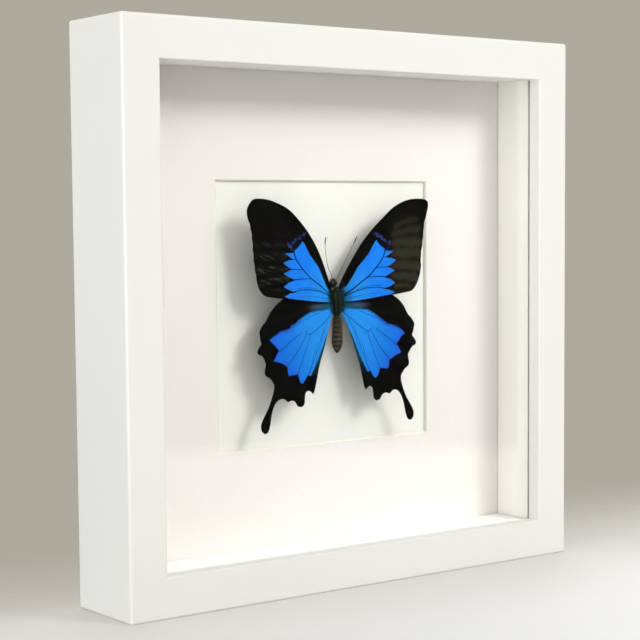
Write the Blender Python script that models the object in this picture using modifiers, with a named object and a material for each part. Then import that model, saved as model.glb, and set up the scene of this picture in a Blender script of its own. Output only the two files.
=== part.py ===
"""A deep white box frame with a swallowtail butterfly set behind its glass.

Units are metres and +Z is up. The origin is at the middle of the frame's foot, and the glass faces -Y.
Depths are measured backwards from the frame's front face.
"""

import math

import bmesh
import bpy
from mathutils import Matrix, Vector

MM = 0.001
PART = "framed_butterfly"

# The frame
SIDE = 250 * MM
DEPTH = 43 * MM
FACE_WIDTH = 18 * MM
LIP_DEPTH = 7 * MM
WALL = 10 * MM
EDGE_ROUND = 1.2 * MM
GAP = 0.3 * MM
CENTRE_Z = SIDE / 2
SIGHT = SIDE - 2 * FACE_WIDTH
PACK = SIDE - 2 * WALL - 2 * GAP
SIDES = {"top": 0, "right": 90, "bottom": 180, "left": 270}

# What the rebate holds, from the glass backwards
GLASS_THICKNESS = 2 * MM
MAT_FRONT = 31.2 * MM
SPACER_OPENING = 215.3 * MM
MAT_THICKNESS = 0.9 * MM
WINDOW = 121.8 * MM
WINDOW_Z = CENTRE_Z - 2 * MM
CARD_THICKNESS = 1.5 * MM
BOARD_THICKNESS = 3 * MM
GLASS_FRONT = LIP_DEPTH + GAP
SPACER_FRONT = GLASS_FRONT + GLASS_THICKNESS + GAP
CARD_FRONT = MAT_FRONT + MAT_THICKNESS + GAP
BOARD_FRONT = CARD_FRONT + CARD_THICKNESS + GAP
BOARD_BACK = BOARD_FRONT + BOARD_THICKNESS

# Back fittings
TAB_LENGTH = 14 * MM
TAB_WIDTH = 6 * MM
TAB_THICKNESS = 0.5 * MM
TAB_OFFSET = 62 * MM
HANGER_LENGTH = 44 * MM
HANGER_HEIGHT = 8 * MM
HANGER_SHEET = 0.8 * MM
HANGER_RISE = 1.6 * MM
HANGER_FOOT = 9 * MM
HANGER_Z = 215 * MM
TOOTH_PITCH = 2.4 * MM
TOOTH_DEPTH = 1.2 * MM
TEETH = 8
RIVET_RADIUS = 2.2 * MM
RIVET_HEIGHT = 0.9 * MM

# The specimen
WING_X = -0.3 * MM
WING_Z = 130 * MM
WING_THICKNESS = 0.3 * MM
FOREWING_Y = -0.4 * MM
HINDWING_Y = 0.1 * MM
FOREWING_RISE = 2.4
HINDWING_RISE = 0.6

# Wing outlines, in millimetres: outwards from the body's axis, and upwards from WING_Z.
# Each runs from the front of the root round the tip to the back of the root.
FOREWING = [
    (3.0, 6.7), (5.1, 11.1), (7.1, 14.8), (10.3, 20.3), (14.1, 25.8), (18.9, 31.3), (24.7, 36.7), (30.2, 41.0),
    (36.5, 43.8), (41.0, 45.0), (45.0, 45.4), (48.4, 45.2), (50.4, 44.3), (51.5, 42.6), (51.9, 40.2), (51.2, 36.7),
    (50.1, 33.2), (49.5, 29.0), (48.8, 22.9), (48.2, 18.0), (47.8, 13.0), (47.1, 9.8), (46.0, 6.5), (44.0, 3.6),
    (41.8, 2.1), (38.0, 1.5), (26.0, 0.1), (12.0, -1.2), (3.0, -1.8),
]
HINDWING = [
    (3.0, 0.8), (9.0, 3.0), (18.0, 4.2), (26.0, 3.2), (31.9, 0.4), (35.5, -1.9), (38.4, -4.8), (39.6, -6.6),
    (41.2, -9.1), (42.4, -10.1), (43.8, -11.7), (44.7, -13.4), (44.5, -15.2), (44.1, -17.3), (43.6, -18.9),
    (44.9, -20.5), (45.8, -22.1), (45.4, -23.4), (43.5, -24.3), (42.1, -26.1), (41.2, -28.0), (41.5, -30.0),
    (41.8, -31.9), (41.1, -33.4), (39.3, -34.4), (37.9, -35.9), (36.8, -37.7), (36.8, -39.7), (37.3, -41.6),
    (39.8, -47.5), (43.1, -52.7), (44.3, -55.6), (43.8, -58.1), (42.1, -59.3), (40.4, -58.3), (39.3, -55.4),
    (38.2, -50.4), (36.6, -46.7), (34.9, -44.8), (32.6, -44.1), (30.9, -44.7), (29.5, -45.8), (28.2, -45.4),
    (26.9, -45.3), (25.4, -45.9), (24.1, -47.3), (22.3, -48.6), (20.7, -47.7), (19.9, -45.4), (19.5, -42.6),
    (18.2, -41.5), (16.8, -41.8), (15.3, -43.1), (14.3, -41.2), (13.0, -36.0), (11.6, -30.4), (8.4, -21.5),
    (5.0, -12.0), (3.0, -5.5),
]

THORAX_SIZE = (5.0 * MM, 5.8 * MM, 14.8 * MM)
THORAX_CENTRE = Vector((-0.2 * MM, 1.5 * MM, 128.4 * MM))
THORAX_TOP = 134.5 * MM
THORAX_FOOT = 121.8 * MM
HEAD_CENTRE = Vector((-1.3 * MM, 2.7 * MM, 136.8 * MM))
HEAD_SIZE = (3.2 * MM, 3.0 * MM, 4.0 * MM)
EYE_RADIUS = 1.2 * MM
EYE_SPREAD = 0.9 * MM

# The abdomen, in millimetres: how far below its top, and its radius there.
ABDOMEN_PROFILE = [(0.0, 1.9), (2.5, 2.2), (6.0, 2.35), (10.0, 2.4), (13.0, 2.2), (15.5, 1.5), (17.1, 0.0)]
ABDOMEN_TOP = Vector((-0.1 * MM, 1.3 * MM, THORAX_FOOT - GAP))
ABDOMEN_LEAN = -0.7
ANTENNA_RADIUS = 0.16 * MM
CLUB_RADIUS = 0.4 * MM
CLUB_START = 0.82

# The routes of the antennae from the head to the tips, in millimetres.
ANTENNAE = {
    "left": [
        (-2.0, 2.1, 139.0), (-3.4, 1.4, 141.2), (-5.8, 0.3, 144.0), (-8.2, -1.3, 149.5), (-10.0, -3.0, 155.5),
        (-10.0, -3.9, 158.2),
    ],
    "right": [
        (0.3, 2.2, 138.7), (1.4, 1.4, 141.2), (2.2, 0.3, 144.0), (4.2, -1.3, 149.3), (6.8, -3.0, 155.5),
        (7.7, -3.9, 158.2),
    ],
}
POST_RADIUS = 2.2 * MM

MATERIALS = {
    "frame_paint": ((0.86, 0.86, 0.83), 0.35, 0.0),
    "glass": ((0.95, 0.97, 0.96), 0.02, 0.0),
    "spacer_board": ((0.84, 0.84, 0.80), 0.55, 0.0),
    "mat_board": ((0.86, 0.80, 0.77), 0.85, 0.0),
    "backing_card": ((0.85, 0.85, 0.83), 0.8, 0.0),
    "fibreboard": ((0.33, 0.20, 0.11), 0.75, 0.0),
    "steel": ((0.55, 0.55, 0.56), 0.35, 1.0),
    "foam": ((0.8, 0.8, 0.78), 0.9, 0.0),
    "body_hair": ((0.04, 0.06, 0.05), 0.8, 0.0),
    "wing_scales": ((0.01, 0.1, 0.6), 0.5, 0.0),
    "antenna": ((0.015, 0.013, 0.01), 0.4, 0.0),
}


def start_scene():
    """Empties the scene, and returns the collections for the pieces and for their cutters."""
    for thing in list(bpy.data.objects):
        bpy.data.objects.remove(thing)
    pieces = bpy.data.collections.new(PART)
    cutters = bpy.data.collections.new("cutters")
    for collection in (pieces, cutters):
        bpy.context.scene.collection.children.link(collection)
    return pieces, cutters


def make_materials():
    """One Principled material for each finish."""
    made = {}
    for name, (colour, roughness, metallic) in MATERIALS.items():
        material = bpy.data.materials.new(name)
        material.use_nodes = True
        shader = material.node_tree.nodes["Principled BSDF"]
        shader.inputs["Base Color"].default_value = (*colour, 1)
        shader.inputs["Roughness"].default_value = roughness
        shader.inputs["Metallic"].default_value = metallic
        made[name] = material
    made["glass"].node_tree.nodes["Principled BSDF"].inputs["Transmission Weight"].default_value = 1.0
    return made


def at_depth(depth):
    """The Y of a plane that lies this far behind the frame's front face."""
    return depth - DEPTH / 2


def new_object(name, bm, collection, finish=None):
    """An object made from a bmesh, which is freed."""
    mesh = bpy.data.meshes.new(name)
    bm.to_mesh(mesh)
    bm.free()
    thing = bpy.data.objects.new(name, mesh)
    collection.objects.link(thing)
    if finish:
        mesh.materials.append(FINISH[finish])
    return thing


def block(name, size, centre, collection, finish=None):
    """A cuboid of this size about this centre."""
    bm = bmesh.new()
    bmesh.ops.create_cube(bm, size=1, matrix=Matrix.Diagonal((*size, 1)))
    thing = new_object(name, bm, collection, finish)
    thing.location = centre
    return thing


def slab(name, width, height, front, thickness, collection, finish=None):
    """An upright slab about the frame's centre, whose front face lies at the depth front."""
    centre = (0, at_depth(front + thickness / 2), CENTRE_Z)
    return block(name, (width, thickness, height), centre, collection, finish)


def as_cutter(thing):
    """Marks a cutter, which is no part of the object."""
    thing.hide_render = True
    thing.display_type = "WIRE"
    return thing


def boolean(thing, cutter, operation="DIFFERENCE"):
    """Adds an exact Boolean modifier."""
    modifier = thing.modifiers.new(operation.lower(), "BOOLEAN")
    modifier.operation = operation
    modifier.solver = "EXACT"
    modifier.object = cutter


def round_edges(thing, radius, segments=3):
    """Adds a Bevel modifier on the sharp edges."""
    modifier = thing.modifiers.new("round", "BEVEL")
    modifier.width = radius
    modifier.segments = segments
    modifier.limit_method = "ANGLE"
    modifier.angle_limit = math.radians(40)


def mitre_wedge(side):
    """The quarter of the frame's square between the two mitres of a side: a square prism stood on its corner."""
    reach = SIDE
    bm = bmesh.new()
    lift = reach / math.sqrt(2) + GAP / math.sqrt(2)
    turn = Matrix.Rotation(math.radians(SIDES[side]), 4, "Y")
    place = turn @ Matrix.Translation((0, 0, lift)) @ Matrix.Rotation(math.radians(45), 4, "Y")
    bmesh.ops.create_cube(bm, size=1, matrix=place @ Matrix.Diagonal((reach, 3 * DEPTH, reach, 1)))
    wedge = as_cutter(new_object(f"mitre_{side}", bm, CUTTERS))
    wedge.location = (0, 0, CENTRE_Z)
    return wedge


def make_rails(wedges):
    """Four mitred rails, cut from one rounded block with its sight opening and its rebate."""
    sight = as_cutter(slab("sight_cutter", SIGHT, SIGHT, -DEPTH, 3 * DEPTH, CUTTERS))
    inside = SIDE - 2 * WALL
    rebate = as_cutter(slab("rebate_cutter", inside, inside, LIP_DEPTH, 2 * DEPTH, CUTTERS))
    for side, wedge in wedges.items():
        rail = slab(f"frame_rail_{side}", SIDE, SIDE, 0, DEPTH, PIECES, "frame_paint")
        round_edges(rail, EDGE_ROUND)
        boolean(rail, sight)
        boolean(rail, rebate)
        boolean(rail, wedge, "INTERSECT")


def make_spacers(wedges):
    """Four strips that stand inside the rebate, between the glass and the mat."""
    thickness = MAT_FRONT - GAP - SPACER_FRONT
    opening = as_cutter(slab("spacer_cutter", SPACER_OPENING, SPACER_OPENING, 0, DEPTH, CUTTERS))
    for side, wedge in wedges.items():
        strip = slab(f"spacer_{side}", PACK, PACK, SPACER_FRONT, thickness, PIECES, "spacer_board")
        boolean(strip, opening)
        boolean(strip, wedge, "INTERSECT")


def make_mat():
    """The mat: a board with a window that narrows at 45 degrees from its face to its back."""
    overrun = 2 * MM
    corner = math.sqrt(2)
    bm = bmesh.new()
    bmesh.ops.create_cone(
        bm,
        cap_ends=True,
        segments=4,
        radius1=(WINDOW / 2 - MAT_THICKNESS - overrun) * corner,
        radius2=(WINDOW / 2 + overrun) * corner,
        depth=MAT_THICKNESS + 2 * overrun,
        matrix=Matrix.Rotation(math.radians(90), 4, "X") @ Matrix.Rotation(math.radians(45), 4, "Z"),
    )
    window = as_cutter(new_object("window_cutter", bm, CUTTERS))
    window.location = (0, at_depth(MAT_FRONT + MAT_THICKNESS / 2), WINDOW_Z)
    mat = slab("mat", PACK, PACK, MAT_FRONT, MAT_THICKNESS, PIECES, "mat_board")
    boolean(mat, window)


def make_boards():
    """The pane, the card that carries the specimen, and the board that closes the back."""
    slab("glass", PACK, PACK, GLASS_FRONT, GLASS_THICKNESS, PIECES, "glass")
    slab("backing_card", PACK, PACK, CARD_FRONT, CARD_THICKNESS, PIECES, "backing_card")
    slab("back_board", PACK, PACK, BOARD_FRONT, BOARD_THICKNESS, PIECES, "fibreboard")


def arc(centre, radius, start, end, steps):
    """Points along an arc of a circle, from one angle in degrees to another."""
    turn = math.radians(end - start)
    angles = [math.radians(start) + turn * i / steps for i in range(steps + 1)]
    return [(centre[0] + radius * math.cos(a), centre[1] + radius * math.sin(a)) for a in angles]


def plate(name, outline, thickness, place, collection, finish=None, smooth=0):
    """A flat outline in X and Y, made thick along Z and set in place.

    With smooth, the outline's points are joined by curves of that many steps, and otherwise by straight lines.
    """
    curve = bpy.data.curves.new(name, "CURVE")
    curve.dimensions = "2D"
    curve.fill_mode = "BOTH"
    curve.extrude = thickness / 2
    if smooth:
        curve.resolution_u = smooth
        spline = curve.splines.new("BEZIER")
        spline.bezier_points.add(len(outline) - 1)
        for point, (x, y) in zip(spline.bezier_points, outline):
            point.co = (x, y, 0)
            point.handle_left_type = "AUTO"
            point.handle_right_type = "AUTO"
        for point in (spline.bezier_points[0], spline.bezier_points[-1]):
            point.handle_left_type = "VECTOR"
            point.handle_right_type = "VECTOR"
    else:
        spline = curve.splines.new("POLY")
        spline.points.add(len(outline) - 1)
        for point, (x, y) in zip(spline.points, outline):
            point.co = (x, y, 0, 1)
    spline.use_cyclic_u = True
    return curve_to_mesh(name, curve, place, collection, finish)


def curve_to_mesh(name, curve, place, collection, finish=None):
    """Turns a curve into a welded mesh object, set in place."""
    guide = bpy.data.objects.new(name + "_guide", curve)
    bpy.context.scene.collection.objects.link(guide)
    bpy.context.view_layer.update()
    evaluated = guide.evaluated_get(bpy.context.evaluated_depsgraph_get())
    mesh = bpy.data.meshes.new_from_object(evaluated)
    bpy.data.objects.remove(guide)
    bm = bmesh.new()
    bm.from_mesh(mesh)
    bpy.data.meshes.remove(mesh)
    bmesh.ops.remove_doubles(bm, verts=bm.verts, dist=1e-6)
    bmesh.ops.transform(bm, matrix=place, verts=bm.verts)
    bmesh.ops.recalc_face_normals(bm, faces=bm.faces)
    return new_object(name, bm, collection, finish)


def upright(x, y, z):
    """Stands a plate that was drawn in X and Y up in X and Z, at this point."""
    return Matrix.Translation((x, y, z)) @ Matrix.Rotation(math.radians(90), 4, "X")


def make_tabs():
    """Eight flat steel points on the back board, two at each rail, with round ends."""
    half = TAB_WIDTH / 2
    outline = [(-half, 0), *arc((0, TAB_LENGTH - half), half, 180, 0, 8), (half, 0)]
    y = at_depth(BOARD_BACK + GAP + TAB_THICKNESS / 2)
    root = CENTRE_Z - WALL - GAP
    number = 0
    for turn in SIDES.values():
        for offset in (-TAB_OFFSET, TAB_OFFSET):
            number += 1
            place = (
                Matrix.Translation((0, y, CENTRE_Z))
                @ Matrix.Rotation(math.radians(turn), 4, "Y")
                @ Matrix.Translation((offset, 0, root))
                @ Matrix.Rotation(math.radians(-90), 4, "X")
            )
            plate(f"board_tab_{number}", outline, TAB_THICKNESS, place, PIECES, "steel")


def hanger_section():
    """The bent strip seen from above: flat feet at both ends, and a raised middle."""
    half = HANGER_LENGTH / 2
    foot = half - HANGER_FOOT
    crest = foot - 2 * HANGER_RISE
    near = [(-half, 0), (-foot, 0), (-crest, HANGER_RISE), (crest, HANGER_RISE), (foot, 0), (half, 0)]
    far = [(x, y + HANGER_SHEET) for x, y in reversed(near)]
    return near + far


def make_hanger():
    """A sawtooth hanger on the back board, with a domed rivet at each end."""
    y = at_depth(BOARD_BACK + GAP)
    place = Matrix.Translation((0, y, HANGER_Z))
    strip = plate("hanger_plate", hanger_section(), HANGER_HEIGHT, place, PIECES, "steel")
    foot = HANGER_Z - HANGER_HEIGHT / 2
    span = TEETH * TOOTH_PITCH
    teeth = [(-span / 2, foot - TOOTH_DEPTH), (-span / 2, foot)]
    for i in range(TEETH):
        teeth.append((-span / 2 + (i + 0.5) * TOOTH_PITCH, foot + TOOTH_DEPTH))
        teeth.append((-span / 2 + (i + 1) * TOOTH_PITCH, foot))
    teeth.append((span / 2, foot - TOOTH_DEPTH))
    saw = plate("tooth_cutter", teeth, 4 * HANGER_RISE, upright(0, y + HANGER_RISE, 0), CUTTERS)
    boolean(strip, as_cutter(saw))
    for name, way in (("left", -1), ("right", 1)):
        base = y + HANGER_SHEET + GAP
        dome = [math.radians(15 * i) for i in range(5, -1, -1)]
        rim = [(RIVET_RADIUS * math.cos(a), base + RIVET_HEIGHT * math.sin(a)) for a in dome]
        profile = [(0, base + RIVET_HEIGHT), *rim, (0, base)]
        x = way * (HANGER_LENGTH / 2 - HANGER_FOOT / 2)
        turned(f"hanger_rivet_{name}", profile, (x, 0, HANGER_Z), 90, "steel")


def turned(name, profile, place, pitch, finish, steps=20):
    """A profile of (radius, height) turned about +Z, then pitched about X so that its height runs along +Y."""
    bm = bmesh.new()
    points = [bm.verts.new((radius, 0, height)) for radius, height in profile]
    for a, b in zip(points, points[1:]):
        bm.edges.new((a, b))
    thing = new_object(name, bm, PIECES, finish)
    screw = thing.modifiers.new("turn", "SCREW")
    screw.angle = 2 * math.pi
    screw.steps = steps
    screw.render_steps = steps
    screw.use_merge_vertices = True
    screw.merge_threshold = 1e-6
    thing.location = place
    thing.rotation_euler = (math.radians(-pitch), 0, 0)
    return thing


def make_wing(name, outline, way, y, rise):
    """One wing: a thin plate hinged on the body's axis, raised towards the glass by an angle in degrees."""
    points = [(way * u * MM, v * MM) for u, v in outline]
    lift = Matrix.Rotation(math.radians(-way * rise), 4, "Z")
    place = Matrix.Translation((WING_X, y, WING_Z)) @ lift @ Matrix.Rotation(math.radians(90), 4, "X")
    plate(name, points, WING_THICKNESS, place, PIECES, "wing_scales", smooth=4)


def ball(name, size, centre, collection, finish=None, segments=20):
    """An ellipsoid of these three widths."""
    bm = bmesh.new()
    shape = Matrix.Diagonal((size[0] / 2, size[1] / 2, size[2] / 2, 1))
    bmesh.ops.create_uvsphere(bm, u_segments=segments, v_segments=segments // 2, radius=1, matrix=shape)
    thing = new_object(name, bm, collection, finish)
    thing.location = centre
    thing.data.shade_smooth()
    return thing


def make_body():
    """The thorax, cut flat where the head and the abdomen meet it, and those two."""
    thorax = ball("thorax", THORAX_SIZE, THORAX_CENTRE, PIECES, "body_hair")
    height = THORAX_TOP - THORAX_FOOT
    middle = Vector((0, 0, THORAX_FOOT + height / 2))
    keep = as_cutter(block("thorax_cutter", (3 * height, 3 * height, height), middle, CUTTERS))
    boolean(thorax, keep, "INTERSECT")
    head = ball("head", HEAD_SIZE, HEAD_CENTRE, PIECES, "body_hair", segments=16)
    for name, way in (("left", -1), ("right", 1)):
        centre = HEAD_CENTRE + Vector((way * EYE_SPREAD, -0.2 * MM, 0.2 * MM))
        eye = ball(f"eye_{name}_shape", (2 * EYE_RADIUS,) * 3, centre, CUTTERS, segments=12)
        boolean(head, as_cutter(eye), "UNION")
    profile = [(radius * MM, -drop * MM) for drop, radius in ABDOMEN_PROFILE]
    abdomen = turned("abdomen", [(0, 0)] + profile, ABDOMEN_TOP, ABDOMEN_LEAN, "body_hair")
    abdomen.data.shade_smooth()


def smooth_path(points, steps):
    """Points along a smooth curve through the given ones (a Catmull-Rom spline)."""
    ends = [2 * points[0] - points[1], *points, 2 * points[-1] - points[-2]]
    path = []
    for a, b, c, d in zip(ends, ends[1:], ends[2:], ends[3:]):
        for i in range(steps):
            t = i / steps
            square = (2 * a - 5 * b + 4 * c - d) * t**2
            cube = (3 * (b - c) + d - a) * t**3
            path.append(0.5 * (2 * b + (c - a) * t + square + cube))
    return path + [points[-1]]


def make_antennae():
    """Two thin stalks that swell into a club at the tip."""
    for side, route in ANTENNAE.items():
        path = smooth_path([Vector(point) * MM for point in route], 5)
        curve = bpy.data.curves.new(f"antenna_{side}", "CURVE")
        curve.dimensions = "3D"
        curve.bevel_depth = ANTENNA_RADIUS
        curve.bevel_resolution = 1
        curve.use_fill_caps = True
        spline = curve.splines.new("POLY")
        spline.points.add(len(path) - 1)
        for i, (point, place) in enumerate(zip(spline.points, path)):
            along = max(0, i / (len(path) - 1) - CLUB_START) / (1 - CLUB_START)
            swell = (CLUB_RADIUS / ANTENNA_RADIUS - 1) * math.sin(math.pi * min(along * 0.8, 1))
            point.co = (*place, 1)
            point.radius = 1 + swell
        curve_to_mesh(f"antenna_{side}", curve, Matrix.Identity(4), PIECES, "antenna")


def make_post():
    """The block that holds the specimen clear of the card, from the thorax's back to the card."""
    back = THORAX_CENTRE.y + THORAX_SIZE[1] / 2 + GAP
    front = at_depth(CARD_FRONT) - GAP
    bm = bmesh.new()
    bmesh.ops.create_cone(
        bm,
        cap_ends=True,
        segments=24,
        radius1=POST_RADIUS,
        radius2=POST_RADIUS,
        depth=front - back,
        matrix=Matrix.Rotation(math.radians(90), 4, "X"),
    )
    post = new_object("mounting_post", bm, PIECES, "foam")
    post.location = (THORAX_CENTRE.x, (front + back) / 2, THORAX_CENTRE.z)


PIECES, CUTTERS = start_scene()
FINISH = make_materials()
WEDGES = {side: mitre_wedge(side) for side in SIDES}
make_rails(WEDGES)
make_spacers(WEDGES)
make_mat()
make_boards()
make_tabs()
make_hanger()
for way, side in ((-1, "left"), (1, "right")):
    make_wing(f"forewing_{side}", FOREWING, way, FOREWING_Y, FOREWING_RISE)
    make_wing(f"hindwing_{side}", HINDWING, way, HINDWING_Y, HINDWING_RISE)
make_body()
make_antennae()
make_post()
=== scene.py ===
"""Fine surfaces, finishes and a plain studio for a white box frame with a swallowtail behind its glass.

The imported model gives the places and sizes. Units are metres, +Z is up, and the glass faces -Y.
Wings are drawn in millimetres: u runs out from the body's axis, and v up from the wings' hinge.
"""

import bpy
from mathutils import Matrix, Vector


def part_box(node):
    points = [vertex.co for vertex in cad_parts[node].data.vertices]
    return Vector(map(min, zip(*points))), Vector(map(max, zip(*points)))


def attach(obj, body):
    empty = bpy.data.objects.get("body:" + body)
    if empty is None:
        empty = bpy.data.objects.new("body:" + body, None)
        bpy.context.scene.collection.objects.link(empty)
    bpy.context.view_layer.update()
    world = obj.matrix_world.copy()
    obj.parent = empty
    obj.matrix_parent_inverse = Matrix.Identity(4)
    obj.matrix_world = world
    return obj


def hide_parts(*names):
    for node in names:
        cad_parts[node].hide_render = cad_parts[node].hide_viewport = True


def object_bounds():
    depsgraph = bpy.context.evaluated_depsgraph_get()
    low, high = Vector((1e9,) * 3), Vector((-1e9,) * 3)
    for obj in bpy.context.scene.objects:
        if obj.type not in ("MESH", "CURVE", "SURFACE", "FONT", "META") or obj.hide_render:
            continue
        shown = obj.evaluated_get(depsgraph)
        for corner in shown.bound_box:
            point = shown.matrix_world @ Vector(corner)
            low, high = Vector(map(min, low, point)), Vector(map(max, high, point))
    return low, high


bl_info = {
    "name": "Framed Butterfly",
    "version": (1, 0, 0),
    "blender": (4, 5, 0),
    "location": "3D View > Sidebar > Butterfly",
    "description": "Builds the surfaces, finishes and studio of a framed butterfly specimen",
    "category": "Object",
}

import math

import bmesh
import bpy
import numpy as np
from bpy.props import FloatProperty, FloatVectorProperty, IntProperty, PointerProperty
from bpy.types import Operator, Panel, PropertyGroup
from mathutils import Matrix, Quaternion, Vector

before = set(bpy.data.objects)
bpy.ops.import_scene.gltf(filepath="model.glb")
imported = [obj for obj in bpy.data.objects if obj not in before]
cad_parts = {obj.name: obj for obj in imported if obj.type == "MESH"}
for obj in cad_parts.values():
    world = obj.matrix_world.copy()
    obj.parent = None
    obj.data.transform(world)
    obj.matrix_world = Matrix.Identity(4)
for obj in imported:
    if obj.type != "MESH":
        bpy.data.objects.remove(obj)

MM = 0.001
ROOT = "root"
CAD_LOW, CAD_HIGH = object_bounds()
WAYS = {"left": -1, "right": 1}

# The frame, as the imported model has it
SIDES = {"top": 0, "right": 90, "bottom": 180, "left": 270}
FRONT_Y = CAD_LOW.y
BACK_Y = CAD_HIGH.y
HALF_SIDE = (CAD_HIGH.x - CAD_LOW.x) / 2
CENTRE_Z = (CAD_LOW.z + CAD_HIGH.z) / 2
FACE_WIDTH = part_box("frame_rail_left")[1].x - CAD_LOW.x
GLASS_PLAY = 0.3 * MM
LIP_BACK_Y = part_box("glass")[0].y - GLASS_PLAY
WALL = HALF_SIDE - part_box("glass")[1].x - GLASS_PLAY
MITRE_GAP = 0.015 * MM
INNER_ROUND = 0.15 * MM
BACK_INNER_ROUND = 0.4 * MM
BACK_OUTER_ROUND = 0.8 * MM
BOARD_BACK_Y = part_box("back_board")[1].y

# The mat's window
WINDOW_HALF = 60.9 * MM
WINDOW_Z = CENTRE_Z - 2 * MM

# Back fittings
TABS = 8
TAB_THICKNESS = 0.5 * MM
TAB_PLAY = 0.3 * MM
TAB_LIFT = 0.9 * MM
CUT_EDGE_ROUND = 0.12 * MM
HANGER_SHEET = 0.8 * MM
HANGER_RISE = 1.6 * MM
HANGER_FOOT = 9 * MM
TEETH = 8
TOOTH_PITCH = 2.4 * MM
TOOTH_DEPTH = 1.2 * MM

# The specimen
WING_X = -0.3 * MM
WING_Z = 130 * MM
WING_THICKNESS = 0.14 * MM
FOREWING = {
    "y": -0.05 * MM,
    "rise": math.radians(2.4),
    "root": ((1.4, 3.4), (1.4, -1.9)),
    "centre": (33.0, 22.0),
    "before": [
        (1.4, 3.4), (3.0, 6.7), (5.1, 11.1), (7.1, 14.8), (10.3, 20.3), (14.1, 25.8), (18.9, 31.3),
        (24.7, 36.7), (30.2, 41.0), (36.5, 43.8), (41.0, 45.0), (45.0, 45.4),
    ],
    "round": [[
        (45.0, 45.4), (48.4, 45.2), (50.4, 44.3), (51.5, 42.6), (51.9, 40.2), (51.2, 36.7),
        (50.1, 33.2), (49.5, 29.0), (48.8, 22.9), (48.2, 18.0), (47.8, 13.0), (47.1, 9.8), (46.0, 6.5),
        (44.0, 3.6), (41.8, 2.1), (38.0, 1.5),
    ]],
    "after": [(38.0, 1.5), (26.0, 0.1), (12.0, -1.2), (1.4, -1.9)],
}
HINDWING = {
    "y": -0.4 * MM,
    "rise": 0.0,
    "root": ((1.4, -1.2), (1.4, -4.0)),
    "centre": (24.0, -25.0),
    "before": [
        (1.4, -1.2), (5.0, 0.6), (9.0, 2.6), (18.0, 4.2), (26.0, 3.2), (31.9, 0.4), (35.5, -1.9),
        (38.4, -4.8), (39.6, -6.6), (41.2, -9.1), (42.4, -10.1), (43.8, -11.7),
    ],
    "round": [
        [
            (43.8, -11.7), (44.7, -13.4), (44.5, -15.2), (44.1, -17.3), (43.6, -18.9), (44.9, -20.5),
            (45.8, -22.1), (45.4, -23.4), (43.5, -24.3), (42.1, -26.1), (41.2, -28.0), (41.5, -30.0),
            (41.8, -31.9), (41.1, -33.4), (39.3, -34.4), (37.9, -35.9), (36.8, -37.7), (36.8, -39.7),
            (37.3, -41.6),
        ],
        [
            (34.9, -44.8), (32.6, -44.1), (30.9, -44.7), (29.5, -45.8), (28.2, -45.4), (26.9, -45.3),
            (25.4, -45.9), (24.4, -47.3), (23.4, -48.3), (21.3, -48.4), (20.1, -47.0), (19.8, -44.6),
            (19.5, -42.6), (18.2, -41.5), (16.8, -41.8), (15.3, -43.1),
        ],
    ],
    "after": [
        (15.3, -43.1), (14.3, -41.2), (13.0, -36.0), (11.6, -30.4), (8.4, -21.5), (5.0, -12.0),
        (1.4, -4.0),
    ],
}
TAIL_OUTER = [(37.3, -41.6), (39.8, -47.5), (43.1, -52.7), (44.3, -55.6), (43.8, -58.1), (42.1, -59.3)]
TAIL_INNER = [(34.9, -44.8), (36.6, -46.7), (38.2, -50.4), (39.3, -55.4), (40.4, -58.3), (42.1, -59.3)]
TAIL_ACROSS = 9

# The blue patches, as closed outlines on each wing
FOREWING_BLUE = [
    (1.0, 2.6), (4.2, 4.2), (6.1, 5.6), (7.6, 8.0), (11.5, 14.3), (17.1, 20.2), (20.2, 25.2),
    (21.6, 26.4), (23.4, 24.6), (25.6, 22.6), (26.5, 21.3), (29.2, 21.1), (31.3, 21.2), (29.4, 19.9),
    (27.0, 18.6), (25.3, 18.2), (30.0, 17.8), (32.6, 16.8), (29.6, 14.8), (27.0, 13.7), (22.0, 13.6),
    (28.6, 13.5), (32.1, 12.0), (29.2, 10.5), (26.0, 9.2), (16.6, 9.3), (25.8, 8.9), (29.6, 7.9),
    (32.2, 6.1), (29.8, 4.9), (27.0, 4.0), (24.0, 3.6), (28.6, 3.1), (31.9, 1.8), (29.6, 0.9),
    (18.3, -0.5), (10.4, -1.5), (1.0, -2.2),
]
HINDWING_BLUE = [
    (1.0, -3.2), (4.5, -4.2), (9.0, -5.0), (12.7, -5.3), (16.4, -5.9), (20.4, -7.8), (25.0, -10.7),
    (28.8, -13.0), (32.8, -14.0), (36.2, -15.6), (38.9, -17.6), (36.5, -19.6), (34.1, -22.4),
    (35.6, -24.9), (37.0, -26.9), (32.9, -28.0), (29.5, -29.9), (29.3, -32.2), (28.7, -33.9),
    (25.9, -33.7), (23.7, -33.5), (23.0, -36.0), (22.2, -37.4), (21.2, -38.0), (19.8, -36.8),
    (18.0, -34.1), (16.5, -34.8), (14.2, -31.0), (12.1, -27.3), (10.2, -23.0), (6.3, -14.9),
    (3.6, -9.4), (1.0, -5.0),
]

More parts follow.
